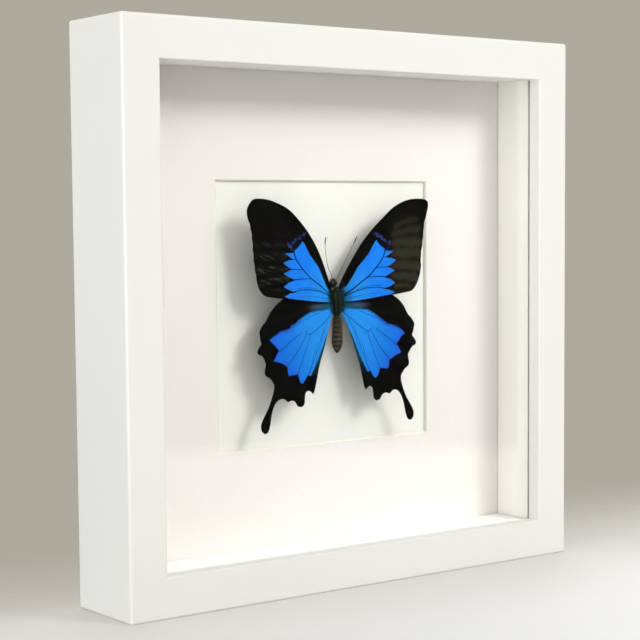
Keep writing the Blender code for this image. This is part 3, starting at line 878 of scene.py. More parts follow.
def forewing_scales(settings):
    """The forewing's upper side.

    A blue patch with a soft front edge and crisp teeth lies on black, with black veins through it,
    violet spots past its end and olive-grey streaks between the outer veins. On the right wing the streaks
    and the outer field are lightened by painted sheen, and the olive at the root is stronger there; on the
    left, short painted glints lie along the streaks instead.
    """
    finish = Finish("forewing_scales")
    place, u, v, signed = wing_place(finish)
    radius, fibres = wing_fibres(finish, u, v, signed, FOREWING_HINGE)
    _, sweeps = wing_fibres(finish, u, v, signed, FOREWING_HINGE, 34.0, 0.12)
    speckle = finish.noise(signed, 7.0, 1.0)
    drift = finish.noise(signed, 0.16)
    edge = finish.value("edge")
    x, _, _ = finish.axes(signed)
    # Painted sheen falls on the right wing: this mask is 1 there and 0 on the left.
    right = finish.step(x, -5.0, 5.0)

    blue = finish.mix(finish.step(radius, 9.0, 24.0), settings.cyan, settings.azure)
    blue = finish.mix(finish.step(fibres, 0.3, 0.75) * 0.45, blue, shade(settings.azure, 0.72))
    by_body = finish.step(radius + (fibres - 0.5) * 8.0, 3.0, 8.0)
    blue = finish.mix(by_body, (0.008, 0.095, 0.16), blue)
    blue = finish.mix(finish.step(drift, 0.45, 0.7) * 0.3, blue, (0.016, 0.30, 1.0))
    tips = (1 - finish.step(edge + (speckle - 0.5) * 1.5, 0.0, 2.4)) * finish.step(u, 26.0, 32.0)
    blue = finish.mix(tips * 0.75, blue, (0.026, 0.15, 0.56))
    soft = finish.ease(finish.step(finish.dot(place, (-0.77, 0.64)), 0.5, 4.0), 0.18, 2.2)
    inside = finish.step(edge / soft + (fibres - 0.5) * 2.2 + (speckle - 0.5) * 0.6, -0.7, 0.7)
    inside = inside * finish.step(u + (fibres - 0.5) * 5.0, 2.4, 4.6)
    vein = 1 - finish.step(finish.strands(place, FOREWING_VEINS) + (speckle - 0.5) * 0.4, 0.6, 1.4)

    # The olive-grey streaks are real velvet patches, but they are drawn only as painted sheen on the right
    # wing.
    streaks = finish.strands(place, FOREWING_STREAKS)
    broad = 1 - finish.step(streaks + (sweeps - 0.5) * 2.0 + (drift - 0.5) * 1.6, 0.3, 1.6)
    # Painted glints: short bright strokes along the fibres in the streaks, strong on the left wing and
    # faint on the right.
    painted_glints = (1 - finish.step(streaks, 0.2, 1.1)) * finish.step(sweeps, 0.46, 0.62)
    painted_glints = painted_glints * (1 - finish.step(v, 12.0, 34.0))
    # The outer field's black is lightened on the right wing: painted sheen.
    field = finish.step(u, 27.0, 34.0) * (1 - finish.step(u, 45.0, 49.0)) * (1 - finish.step(v, 30.0, 40.0))
    ground = black_scales(finish, fibres, settings.black)
    ground = finish.mix(field * right * 0.8, ground, (0.013, 0.011, 0.007))
    grain = finish.ease(speckle, 0.6, 1.2) * finish.ease(fibres, 0.6, 1.3)
    outer = finish.step(u + (drift - 0.5) * 8.0, 30.0, 36.0)
    warm = finish.mix(outer, (0.030, 0.021, 0.013), (0.030, 0.028, 0.018))
    # The streaks' olive-grey is painted sheen on the right wing only, weaker higher up the wing.
    fading = 1 - finish.step(v, 20.0, 38.0) * 0.6
    ground = finish.mix(broad * right * grain * fading, ground, warm)
    ground = finish.mix(painted_glints * finish.ease(right, 0.9, 0.15), ground, (0.036, 0.036, 0.033))
    # Olive scales at the root, stronger on the right wing as painted sheen.
    root = (1 - finish.step(radius, 5.0, 9.0)) * finish.step(fibres, 0.55, 0.7) * (0.3 + right * 0.7)
    ground = finish.mix(root, ground, (0.10, 0.085, 0.022))
    spots = finish.strands(place, FOREWING_SPOTS)
    curl = finish.noise(signed, 0.8, 2.0, 0.6)
    spot = 1 - finish.step(spots + (speckle - 0.5) * 1.2 + (curl - 0.5) * 3.2, 0.3, 1.3)
    bloom = finish.mix(finish.step(curl, 0.35, 0.6), (0.034, 0.052, 0.21), (0.012, 0.014, 0.06))
    ground = finish.mix(spot * 0.9, ground, bloom)

    colour = finish.mix(inside, ground, blue)
    colour = finish.mix(vein * finish.ease(inside, 0.3, 1.0), colour, shade(settings.black, 0.8))
    return scaled_wing(finish, colour, inside, speckle * 0.35 + fibres * 0.25 + vein * 0.8)


def hindwing_scales(settings):
    """The hindwing's upper side.

    A blue patch, sky blue by the body and violet at its outer teeth, lies on black, with thin dark veins,
    feathered edges and a dusky band between it and the forewing. The band stops short of the forewing's
    edge, and the black strip left there is the forewing's painted shadow.
    """
    finish = Finish("hindwing_scales")
    place, u, v, signed = wing_place(finish)
    radius, fibres = wing_fibres(finish, u, v, signed, HINDWING_HINGE)
    speckle = finish.noise(signed, 7.0, 1.0)
    edge = finish.value("edge")

    outward = finish.step(finish.dot(place, (0.93, -0.36)) + (fibres - 0.5) * 5.0, 16.0, 40.0)
    blue = finish.mix(outward, settings.cyan, shade(settings.azure, 0.82))
    blue = finish.mix(finish.step(fibres, 0.3, 0.8) * 0.45, blue, shade(settings.azure, 0.7))
    tips = (1 - finish.step(edge + (speckle - 0.5) * 2.0, 0.0, 3.2)) * finish.step(u, 19.0, 27.0)
    blue = finish.mix(tips * 0.8, blue, settings.violet)
    by_body = finish.step(radius + (fibres - 0.5) * 2.0, 2.5, 7.0)
    blue = finish.mix(by_body, (0.006, 0.085, 0.13), blue)
    soft = finish.ease(finish.step(finish.dot(place, (0.45, 0.89)), -5.0, 3.0), 0.28, 0.7)
    inside = finish.step(edge / soft + (fibres - 0.5) * 4.5 + (speckle - 0.5) * 1.0, -0.8, 0.8)
    vein = 1 - finish.step(finish.strands(place, HINDWING_VEINS) + (speckle - 0.5) * 0.5, 0.6, 1.6)

    # The band ends before the forewing's edge, so a black strip is left there: the forewing's painted
    # shadow.
    below = 1 - finish.step(v + (speckle - 0.5), -3.2, -1.9)
    band = finish.step(v + (fibres - 0.5) * 2.0, -6.4, -3.6) * below
    band = band * (1 - finish.step(radius + (fibres - 0.5) * 9.0, 10.5, 20.0))
    dusk = finish.ramp(radius / 20.0, [
        (0.0, (0.018, 0.074, 0.117)), (0.5, (0.045, 0.105, 0.195)), (0.74, (0.060, 0.066, 0.125)),
        (0.9, (0.040, 0.035, 0.020)),
    ])
    ground = black_scales(finish, fibres, settings.black)
    ground = finish.mix(band * finish.ease(fibres, 0.6, 1.2), ground, dusk)
    rim = finish.step(edge + (fibres - 0.5) * 3.0, -3.0, -0.4) * (1 - finish.step(u, 11.0, 16.0))
    ground = finish.mix(rim * 0.7, ground, (0.004, 0.06, 0.075))

    colour = finish.mix(inside, ground, blue)
    colour = finish.mix(vein * finish.ease(inside, 0.15, 0.85), colour, (0.003, 0.012, 0.035))
    return scaled_wing(finish, colour, inside, speckle * 0.35 + fibres * 0.3 + vein * 0.6)


def wing_underside():
    """The wings' dull underside: dusty brown-black, paler along the fibres."""
    finish = Finish("wing_underside")
    _, u, v, signed = wing_place(finish)
    _, fibres = wing_fibres(finish, u, v, signed, (1.0, 0.0))
    colour = finish.mix(finish.step(fibres, 0.3, 0.8), (0.012, 0.010, 0.008), (0.055, 0.047, 0.036))
    return finish.paint(colour, 0.7, 0.2, (fibres, 0.4, 0.0001))


def chitin():
    """The body's skin under the hair: dark green-black, with a dull sheen."""
    finish = Finish("chitin")
    mottle = finish.noise(finish.place(), 1400.0, 3.0, 0.6)
    colour = finish.mix(mottle, (0.006, 0.012, 0.008), (0.014, 0.028, 0.019))
    return finish.paint(colour, 0.6, 0.25, (mottle, 0.5, 0.0001))


def eye_lens():
    """The compound eyes: glossy dark brown, with painted dark red glints, and facets too small to see one
    by one.
    """
    finish = Finish("eye_lens")
    place = finish.place()
    # Painted glints: dark red patches on the eyes.
    red_glints = finish.step(finish.noise(place, 700.0, 1.0), 0.5, 0.7)
    colour = finish.mix(red_glints, (0.006, 0.004, 0.003), (0.06, 0.016, 0.012))
    return finish.paint(colour, 0.3, 0.5, (finish.cells(place, 9000.0), 0.15, 0.00003))


def hair_finish(name, stops):
    """Hair whose colour runs along these stops by each hair's own tint."""
    finish = Finish(name)
    strand = finish.noise(finish.place(), 5000.0, 1.0)
    return finish.paint(finish.ramp(finish.value("tint"), stops), finish.ease(strand, 0.45, 0.65), 0.3)


def abdomen_skin():
    """The abdomen: olive at the top, brown below, with a pale ring at the end of each segment."""
    finish = Finish("abdomen_skin")
    drop = finish.value("drop")
    mottle = finish.noise(finish.place(), 1800.0, 3.0, 0.65)
    base = finish.mix(finish.step(drop, 0.15, 0.6), (0.026, 0.032, 0.016), (0.036, 0.021, 0.012))
    base = finish.mix(finish.step(mottle, 0.35, 0.65), base, (0.012, 0.009, 0.006))
    pale = finish.mix(finish.step(drop, 0.05, 0.35), (0.06, 0.075, 0.04), (0.17, 0.12, 0.075))
    ring = finish.step(finish.value("ring") + (mottle - 0.5) * 1.6, 0.45, 1.1)
    return finish.paint(finish.mix(ring * 0.6, base, pale), 0.65, 0.25, (mottle, 0.6, 0.0001))


def horn():
    """The antennae: near-black horn, ringed by its joints."""
    finish = Finish("horn")
    _, _, z = finish.axes(finish.place())
    joints = finish.noise(finish.joined(0.0, 0.0, z), 5200.0, 0.0)
    return finish.paint(finish.mix(joints, (0.010, 0.008, 0.007), (0.045, 0.038, 0.032)), 0.5, 0.3)


# ---------------------------------------------------------------- pieces of the frame


def rail_mesh(side, settings):
    """One mitred rail: an L-shaped profile carried along its side and round half of both outer corners.

    A profile point lies d in from the frame's outer edge, at y. Its path is a square of half size H - d
    whose corners are rounded by R - d, or sharp where d is more than R, so the frame's corners are balls.
    """
    outer = settings.outer_round
    profile = rounded_loop([
        (0, FRONT_Y, outer),
        (FACE_WIDTH, FRONT_Y, settings.sight_round),
        (FACE_WIDTH, LIP_BACK_Y, INNER_ROUND),
        (WALL, LIP_BACK_Y, INNER_ROUND),
        (WALL, BACK_Y, BACK_INNER_ROUND),
        (0, BACK_Y, BACK_OUTER_ROUND),
    ])
    inward, y = profile[:, :1], profile[:, 1:]
    turn = np.linspace(0, math.pi / 4, 7)
    run = np.linspace(-1, 1, 9)
    angle = np.concatenate([-turn[::-1], np.zeros(len(run) - 2), turn])
    along = np.concatenate([np.full(7, -1.0), run[1:-1], np.full(7, 1.0)])
    square = HALF_SIDE - np.maximum(outer, inward)
    bend = np.maximum(outer - inward, 0)
    x = along * (square - MITRE_GAP) + bend * np.sin(angle)
    z = square + bend * np.cos(angle)
    theta = math.radians(SIDES[side])
    points = np.stack([
        x * math.cos(theta) + z * math.sin(theta),
        np.broadcast_to(y, x.shape),
        CENTRE_Z - x * math.sin(theta) + z * math.cos(theta),
    ], axis=-1)
    rows, columns = x.shape
    ends = np.arange(rows) * columns
    return weld(make_mesh(
        f"rail_{side}",
        points.reshape(-1, 3),
        grid_faces(rows, columns, wrap_rows=True),
        ends[None, :],
        ends[None, ::-1] + columns - 1,
    ))


def tab_mesh(number):
    """A flat steel point: a strip with a round end, bent slightly away from the board towards its tip.

    Across the strip, w runs from -1 to 1; along it, l runs from the rail to the tip, where the half width
    shrinks as a circle does. The bend lifts the strip by the square of its length.
    """
    low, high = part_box(f"board_tab_{number}")
    middle = (low + high) / 2
    lies_down = high.x - low.x > high.z - low.z
    length = max(high.x - low.x, high.z - low.z)
    half = min(high.x - low.x, high.z - low.z) / 2
    tip = length - half + half * np.sin(np.linspace(0, math.pi / 2, 12))
    along = np.concatenate([np.linspace(0, length - half, 8)[:-1], tip])
    past = np.clip(along - (length - half), 0, half)
    width = np.sqrt(np.maximum(half**2 - past**2, 0))
    across = np.linspace(-1, 1, 9)
    aside = width[:, None] * across
    reach = np.broadcast_to(along[:, None], aside.shape)
    y = BOARD_BACK_Y + TAB_PLAY + TAB_THICKNESS / 2 + TAB_LIFT * (reach / length) ** 2
    if lies_down:
        inward = -1 if middle.x > 0 else 1
        root = high.x if middle.x > 0 else low.x
        points = np.stack([root + inward * reach, y, middle.z + inward * aside], axis=-1)
    else:
        inward = -1 if middle.z > CENTRE_Z else 1
        root = high.z if middle.z > CENTRE_Z else low.z
        points = np.stack([middle.x - inward * aside, y, root + inward * reach], axis=-1)
    return weld(sheet_mesh(f"tab_{number}", points), recalculate=False)


def hanger_mesh():
    """The sawtooth hanger: a strip whose feet lie on the board and whose middle stands off it.

    The rise is 0 on the feet and 1 between them, with a smooth step. The lower edge is a zigzag over
    the teeth's span, and the rows are spread evenly between that edge and the straight upper one.
    """
    low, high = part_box("hanger_plate")
    half = (high.x - low.x) / 2
    span = TEETH * TOOTH_PITCH / 2
    corners = np.arange(-2 * TEETH, 2 * TEETH + 1) * TOOTH_PITCH / 4
    x = np.unique(np.concatenate([np.linspace(-half, half, 45), corners]).round(7))
    rise = HANGER_RISE * smooth((half - HANGER_FOOT - np.abs(x)) / (2 * HANGER_RISE))
    phase = np.abs((x + span) / TOOTH_PITCH % 1 - 0.5) * 2
    foot = low.z + np.where(np.abs(x) < span, TOOTH_DEPTH * (1 - phase), 0)
    up = np.linspace(0, 1, 6)
    z = foot[:, None] + (high.z - foot)[:, None] * up
    y = low.y + HANGER_SHEET / 2 + np.broadcast_to(rise[:, None], z.shape)
    points = np.stack([np.broadcast_to(x[:, None], z.shape), y, z], axis=-1)
    return sheet_mesh("hanger", points)


def sheet_metal(piece, thickness):
    """Gives an open strip its thickness and a small round on its cut edges."""
    modify(piece, "SOLIDIFY", thickness=thickness, offset=0, use_even_offset=True)
    modify(
        piece, "BEVEL", width=CUT_EDGE_ROUND, segments=2, limit_method="ANGLE", angle_limit=math.radians(50)
    )


# ---------------------------------------------------------------- pieces of the butterfly


def pleats(u, v, root):
    """Low pleats between the veins that fan from the root, and a slow ripple, both growing outwards."""
    radius = np.hypot(u - root[0], v - root[1])
    angle = np.arctan2(v - root[1], u - root[0])
    grow = np.clip(radius / 40, 0, 1.2)
    return 0.13 * grow * np.cos(angle * 26) + 0.1 * grow**2 * np.sin(angle * 11 + radius / 4)


def forewing_relief(u, v):
    """How far the forewing stands towards the glass, in millimetres.

    It bows gently along its length and sinks at the root. Its front edge folds far back by the body and
    lifts a little further out, over a strip that fades in 7 mm, and its tip curls forwards.
    """
    front = spline(FOREWING["before"], 200)
    places = np.stack([u, v], axis=1)
    near = smooth(1 - np.linalg.norm(places[:, None] - front[None], axis=2).min(axis=1) / 7)
    fold = np.interp(v, [8, 13, 20, 31, 39, 44], [-2.9, -2.3, -1.2, 0.0, 0.7, 0.3])
    sink = 1.5 * (1 - np.clip((u - 2.5) / 7, 0, 1)) ** 2
    curl = 1.8 * np.exp(-((u - 51.5) ** 2 + (v - 45) ** 2) / 16)
    return 0.05 * u - 0.0011 * u**2 - sink * (1 - near) + fold * near + curl


def hindwing_relief(u, v):
    """How far the hindwing stands towards the glass, in millimetres: it sinks at its root, and in front."""
    inward = 1 - np.clip((u - 2.5) / 7, 0, 1)
    return -1.9 * inward**2 - smooth((v + 2.5) / 3) * inward


def margin_scallops(points):
    """Small bays between the vein ends of a forewing's margin: an inward shift by half a cosine wave."""
    v = points[:, 1]
    fade = np.clip((v - 6) / 6, 0, 1) * np.clip((38 - v) / 4, 0, 1) * (points[:, 0] > 44)
    return points - np.stack([0.28 * fade * (0.5 - 0.5 * np.cos(v * 2 * math.pi / 4.6)), 0 * v], axis=1)


def wing_mesh(name, shape, relief, counts, rows, way, blue):
    """A wing as a grid of straight rays from an axis inside it to its margin.

    The axis runs from the root's middle to a centre. A first share of the margin, up to the tip, is joined
    to places going out along the axis, a second share to its end, and a third to places coming back. The
    root's two halves are the first ray and the last. A tail is a second grid between its two edges.
    """
    side_count, round_count = counts
    before = spline(shape["before"], side_count)
    after = spline(shape["after"], side_count)
    tour = margin_tour(shape["round"], round_count)
    margin = margin_scallops(np.vstack([before, tour[1:-1], after]))
    root = np.mean(shape["root"], axis=0)
    centre = np.array(shape["centre"])
    out = np.linspace(0, 1, side_count)[:, None]
    axis = np.vstack([
        root + out * (centre - root),
        np.repeat(centre[None], len(tour) - 2, axis=0),
        root + out[::-1] * (centre - root),
    ])
    share = np.linspace(0, 1, rows)[:, None, None]
    grids = [axis + share * (margin - axis)]
    if len(shape["round"]) > 1:
        grids.append(tail_grid())
    points = np.vstack([grid.reshape(-1, 2) for grid in grids])
    starts = np.cumsum([0] + [grid.shape[0] * grid.shape[1] for grid in grids])
    faces = [grid_faces(*grid.shape[:2]) + start for grid, start in zip(grids, starts)]
    mesh = make_mesh(name, np.column_stack([points, np.zeros(len(points))]), *faces)
    weld(mesh, 2e-3, recalculate=False)
    place = read_points(mesh)[:, :2]
    u, v = place[:, 0], place[:, 1]
    store(mesh, "edge", signed_distance(place, blue))
    rise = shape["rise"]
    lift = u * math.sin(rise) + relief(u, v) + pleats(u, v, root)
    x = WING_X + way * u * math.cos(rise) * MM
    points = np.stack([x, shape["y"] - lift * MM, WING_Z + v * MM], axis=1)
    mesh.vertices.foreach_set("co", points.astype(np.float32).ravel())
    face_front(mesh)
    return mesh


def margin_tour(parts, count):
    """The margin's middle share: a curve through one list of places, or two with a straight cut between."""
    if len(parts) == 1:
        return spline(parts[0], count)
    share = np.array([np.linalg.norm(np.diff(part, axis=0), axis=1).sum() for part in parts])
    counts = np.round(count * share / share.sum()).astype(int)
    chord = np.linspace(parts[0][-1], parts[1][0], TAIL_ACROSS)
    return np.vstack([spline(parts[0], counts[0]), chord[1:-1], spline(parts[1], counts[1])])


def tail_grid():
    """The tail: rows from its outer edge to its inner edge, from the cut to the round tip."""
    outer = spline(TAIL_OUTER, 70)
    inner = spline(TAIL_INNER, 70)
    across = np.linspace(0, 1, TAIL_ACROSS)[None, :, None]
    return outer[:, None] + across * (inner - outer)[:, None]


def face_front(mesh):
    """Turns an open sheet's faces towards the glass."""
    bm = bmesh.new()
    bm.from_mesh(mesh)
    bmesh.ops.recalc_face_normals(bm, faces=bm.faces)
    if sum(face.normal.y * face.calc_area() for face in bm.faces) > 0:
        bmesh.ops.reverse_faces(bm, faces=bm.faces)
    bm.to_mesh(mesh)
    bm.free()


def ball_mesh(name, size, centre, rows, columns, lumps=0.0):
    """An ellipsoid: unit vectors times half of each width, swollen by slow waves of this share."""
    tilt = np.linspace(0, math.pi, rows)
    ways = turned(np.sin(tilt), np.cos(tilt), columns)
    x, y, z = np.moveaxis(ways, -1, 0)
    wave = np.sin(5 * z + 1) * np.cos(4 * x) + 0.6 * np.sin(9 * y + 4 * z)
    swell = 1 + lumps * wave * (1 - z**4)
    points = ways * swell[..., None] * np.asarray(size) / 2 + np.asarray(centre)
    return weld(sheet_mesh(name, points, closed=True), 1e-9)


def abdomen_surface(drop, turn):
    """A place on the abdomen, at a drop from 0 to 1 and a turn round it, and its ring's height there.

    The radius follows the profile, and swells to the end of each segment before it steps in.
    """
    drops, radii = spline(ABDOMEN_PROFILE, 200).T
    length = ABDOMEN_PROFILE[-1][0]
    phase = (drop * ABDOMEN_SEGMENTS) % 1
    swell = 0.93 + 0.07 * phase - 0.05 * np.clip((phase - 0.93) / 0.07, 0, 1)
    across = np.interp(drop * length, drops, np.maximum(radii, 0)) * swell * MM
    down = drop * length * MM
    x = ABDOMEN_TOP.x + across * np.cos(turn)
    y = ABDOMEN_TOP.y + across * np.sin(turn) + down * math.sin(ABDOMEN_LEAN)
    z = ABDOMEN_TOP.z - down * math.cos(ABDOMEN_LEAN)
    return np.stack(np.broadcast_arrays(x, y, z), axis=-1), smooth((phase - 0.35) / 0.4)


def abdomen_mesh():
    """The abdomen: its surface over drop and turn, closed at the top and the tip."""
    drop, turn = np.meshgrid(np.linspace(0, 1, 190), turns(48), indexing="ij")
    points, ring = abdomen_surface(drop, turn)
    points[0] = points[0].mean(axis=0)
    mesh = sheet_mesh("abdomen", points, closed=True)
    store(mesh, "ring", ring)
    store(mesh, "drop", drop)
    return weld(mesh, 1e-9)


def add_hair(name, mesh, material, tint):
    """A piece of hair, with one tint for each hair's points."""
    store(mesh, "tint", np.repeat(tint, HAIR_POINTS))
    add_piece(name, mesh, [material])


def thorax_hair(count, rng):
    """Roots all over the thorax's sides, front and back, with hairs that lean back along the body."""
    ways = unit(rng.normal(size=(count, 3)))
    roots = np.array(THORAX_CENTRE) + ways * np.array(THORAX_SIZE) * 0.47
    lean = ways * (0.5, 0.5, 0.3) + (0, 0, -0.85) + rng.normal(scale=0.25, size=(count, 3))
    mesh = hair_mesh("thorax_hair", roots, lean, rng.uniform(0.5, 1.2, count), 0.026, (0, 0, -0.15))
    turn = np.arctan2(ways[:, 0], -ways[:, 1])
    lines = smooth((np.cos(turn * 7 + 1.6 * ways[:, 2]) - 0.1) / 0.7)
    return mesh, np.clip(0.62 * lines + 0.2 * np.abs(ways[:, 0]) + rng.random(count) * 0.5 - 0.1, 0, 1)


def wing_root_hair(way, count, rng):
    """Hairs that lie over the wings' roots, fanned outwards from the body's side."""
    fan = rng.uniform(-1.15, 1.2, count)
    start = rng.uniform(1.8, 3.6, count)
    v = rng.uniform(-6.0, 5.0, count)
    forward = -0.35 - 0.2 * rng.random(count)
    lean = np.stack([way * np.cos(fan), forward, np.sin(fan) * 0.9 + v * 0.05], axis=1)
    depth = 1.35 - 0.25 * start + rng.random(count) * 0.3
    roots = np.stack([WING_X / MM + way * start, depth, WING_Z / MM + v], axis=1) * MM
    return hair_mesh("wing_root_hair", roots, lean, rng.uniform(0.9, 2.0, count), 0.034, (0, 0.12, 0))


def abdomen_hair(count, rng):
    """Short hairs that lie back along the abdomen, paler towards its tip and on its rings."""
    drop = rng.uniform(0.02, 0.95, count)
    turn = rng.uniform(0, 2 * math.pi, count)
    roots, ring = abdomen_surface(drop, turn)
    lean = np.stack([np.cos(turn) * 0.45, np.sin(turn) * 0.45, np.full(count, -1.0)], axis=1)
    lean += rng.normal(scale=0.16, size=lean.shape)
    lengths = rng.uniform(0.3, 0.7, count) * (1 - 0.5 * drop)
    mesh = hair_mesh("abdomen_hair", roots, lean, lengths, 0.018, (0, 0, -0.1))
    return mesh, np.clip(0.25 * drop + 0.22 * ring + rng.random(count) * 0.6 - 0.15, 0, 1)


def head_hair(count, rng):
    """Short upright hairs on the head, but for its two sides, where the eyes are."""
    ways = unit(rng.normal(size=(count, 3)))
    ways = ways[np.abs(ways[:, 0]) < 0.75]
    roots = np.array(HEAD_CENTRE) + ways * np.array(HEAD_SIZE) * 0.46
    lean = ways + (0, -0.35, 0.15) + rng.normal(scale=0.25, size=ways.shape)
    mesh = hair_mesh("head_hair", roots, lean, rng.uniform(0.4, 0.95, len(ways)), 0.02, (0, 0, 0))
    return mesh, rng.random(len(ways)) * 0.6


def antenna_mesh(name, route):
    """An antenna: a smooth route, with a radius that steps at each joint and swells into the club."""
    path = spline(np.array(route) * MM, 150)
    along = np.linspace(0, 1, len(path))
    club = np.clip((along - 0.80) / 0.20, 0, 1)
    radius = 0.12 * (1 - 0.25 * along) + 0.17 * np.sin(math.pi * np.minimum(club * 0.86, 1)) ** 1.3
    joints = 1 + 0.07 * np.sign(np.sin(along * 2 * math.pi * ANTENNA_JOINTS))
    end = np.sqrt(np.clip((1 - along) / 0.02, 0.04, 1))
    return tube_mesh(name, path, radius * joints * end * MM, 12)


# ---------------------------------------------------------------- operators


class BUTTERFLY_OT_rails(Operator):
    """Builds the four painted rails with rounded edges."""

    bl_idname = "butterfly.rails"
    bl_label = "Rails"

    def execute(self, context):
        settings = context.scene.butterfly_frame
        paint = satin_paint(settings)
        for side in SIDES:
            name = f"frame_rail_{side}"
            mesh = rail_mesh(side, settings)
            rail = add_piece(f"{name}_painted", mesh, [paint], [name], sharp=40)
            modify(rail, "WEIGHTED_NORMAL", keep_sharp=True)
        return {"FINISHED"}


class BUTTERFLY_OT_inside(Operator):
    """Finishes the glass, the spacers, the mat and the card."""

    bl_idname = "butterfly.inside"
    bl_label = "Glass, mat and card"

    def execute(self, context):
        settings = context.scene.butterfly_frame
        dress("glass", clear_glass())
        dress("mat", mat_board(settings))
        dress("backing_card", backing_card(settings))
        strips = spacer_board(settings)
        for side in SIDES:
            dress(f"spacer_{side}", strips)
        return {"FINISHED"}


class BUTTERFLY_OT_back(Operator):
    """Builds the board, the steel points and the hanger of the back."""

    bl_idname = "butterfly.back"
    bl_label = "Back fittings"

    def execute(self, context):
        dress("back_board", fibreboard())
        steel = sheet_steel()
        for number in range(1, TABS + 1):
            mesh = tab_mesh(number)
            tab = add_piece(f"steel_point_{number}", mesh, [steel], [f"board_tab_{number}"])
            sheet_metal(tab, TAB_THICKNESS)
        hanger = add_piece("sawtooth_hanger", hanger_mesh(), [steel], ["hanger_plate"])
        sheet_metal(hanger, HANGER_SHEET)
        for side in WAYS:
            self.rivet(side, steel)
        return {"FINISHED"}

    @staticmethod
    def rivet(side, steel):
        """A domed rivet head: a quarter of an ellipse turned about its axis, on a short straight rim."""
        low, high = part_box(f"hanger_rivet_{side}")
        radius = (high.z - low.z) / 2
        height = high.y - low.y
        angle = np.linspace(math.pi / 2, 0, 14)
        radii = np.append(radius * np.cos(angle), (radius, 0.0))
        heights = np.append(height * (0.2 + 0.8 * np.sin(angle)), (0.0, 0.0))
        mesh = weld(sheet_mesh(f"rivet_{side}", turned(radii, heights, 48), closed=True))
        middle = (low + high) / 2
        foot = Matrix.Translation((middle.x, low.y, middle.z))
        mesh.transform(foot @ Matrix.Rotation(-math.pi / 2, 4, "X"))
        add_piece(f"domed_rivet_{side}", mesh, [steel], [f"hanger_rivet_{side}"], sharp=60)


class BUTTERFLY_OT_wings(Operator):
    """Builds the four wings with their scales."""

    bl_idname = "butterfly.wings"
    bl_label = "Wings"

    def execute(self, context):
        settings = context.scene.butterfly_specimen
        under = wing_underside()
        fore, hind = forewing_scales(settings), hindwing_scales(settings)
        kinds = {
            "forewing": (FOREWING, forewing_relief, (110, 170), 62, FOREWING_BLUE, fore),
            "hindwing": (HINDWING, hindwing_relief, (110, 320), 54, HINDWING_BLUE, hind),
        }
        for kind, (shape, relief, counts, rows, blue, scales) in kinds.items():
            for side, way in WAYS.items():
                name = f"{kind}_{side}"
                mesh = wing_mesh(kind, shape, relief, counts, rows, way, blue)
                wing = add_piece(f"{name}_scaled", mesh, [scales, under], [name])
                modify(wing, "SOLIDIFY", thickness=WING_THICKNESS, offset=0, material_offset=1)
        return {"FINISHED"}


class BUTTERFLY_OT_body(Operator):
    """Builds the head, the thorax, the abdomen and their hair."""

    bl_idname = "butterfly.body"
    bl_label = "Body"

    def execute(self, context):
        skin = chitin()
        thorax = ball_mesh("thorax", THORAX_SIZE * 0.94, THORAX_CENTRE, 64, 80, 0.035)
        add_piece("thorax_skin", thorax, [skin], ["thorax"])
        head = ball_mesh("head", HEAD_SIZE, HEAD_CENTRE, 40, 48, 0.02)
        add_piece("head_skin", head, [skin], ["head"])
        lens = eye_lens()
        for side, way in WAYS.items():
            place = HEAD_CENTRE + Vector((way * EYE_SPREAD, -0.2 * MM, 0.2 * MM))
            eye = ball_mesh("eye", (2 * EYE_RADIUS,) * 3, place, 32, 44)
            add_piece(f"eye_{side}", eye, [lens])
        add_piece("abdomen_skin", abdomen_mesh(), [abdomen_skin()], ["abdomen"])
        self.hair(context.scene.butterfly_specimen)
        return {"FINISHED"}

    @staticmethod
    def hair(settings):
        """The hair of the thorax, the head, the wings' roots and the abdomen."""
        rng = np.random.default_rng(HAIR_SEED)
        dark = hair_finish("dark_hair", [
            (0.0, (0.002, 0.005, 0.003)), (0.5, (0.011, 0.023, 0.015)), (0.8, (0.040, 0.064, 0.048)),
            (1.0, (0.11, 0.15, 0.11)),
        ])
        teal = hair_finish("teal_hair", [
            (0.0, (0.002, 0.008, 0.007)), (0.6, (0.004, 0.030, 0.036)), (0.9, (0.014, 0.075, 0.080)),
            (1.0, (0.15, 0.13, 0.05)),
        ])
        brown = hair_finish("brown_hair", [
            (0.0, (0.010, 0.010, 0.005)), (0.5, (0.034, 0.024, 0.012)), (1.0, (0.14, 0.105, 0.062)),
        ])
        thorax, tint = thorax_hair(settings.thorax_hairs, rng)
        add_hair("thorax_hair", thorax, dark, tint)
        head, tint = head_hair(HEAD_HAIRS, rng)
        add_hair("head_hair", head, dark, tint)
        for side, way in WAYS.items():
            roots = wing_root_hair(way, WING_ROOT_HAIRS, rng)
            tint = rng.random(WING_ROOT_HAIRS)
            add_hair(f"wing_root_hair_{side}", roots, teal, tint)
        abdomen, tint = abdomen_hair(settings.abdomen_hairs, rng)
        add_hair("abdomen_hair", abdomen, brown, tint)


class BUTTERFLY_OT_antennae(Operator):
    """Builds the two clubbed antennae and finishes the post."""

    bl_idname = "butterfly.antennae"
    bl_label = "Antennae and post"

    def execute(self, context):
        black_horn = horn()
        for side, route in ANTENNAE.items():
            mesh = antenna_mesh(f"antenna_{side}", route)
            add_piece(f"antenna_{side}_jointed", mesh, [black_horn], [f"antenna_{side}"])
        dress("mounting_post", white_foam())
        return {"FINISHED"}


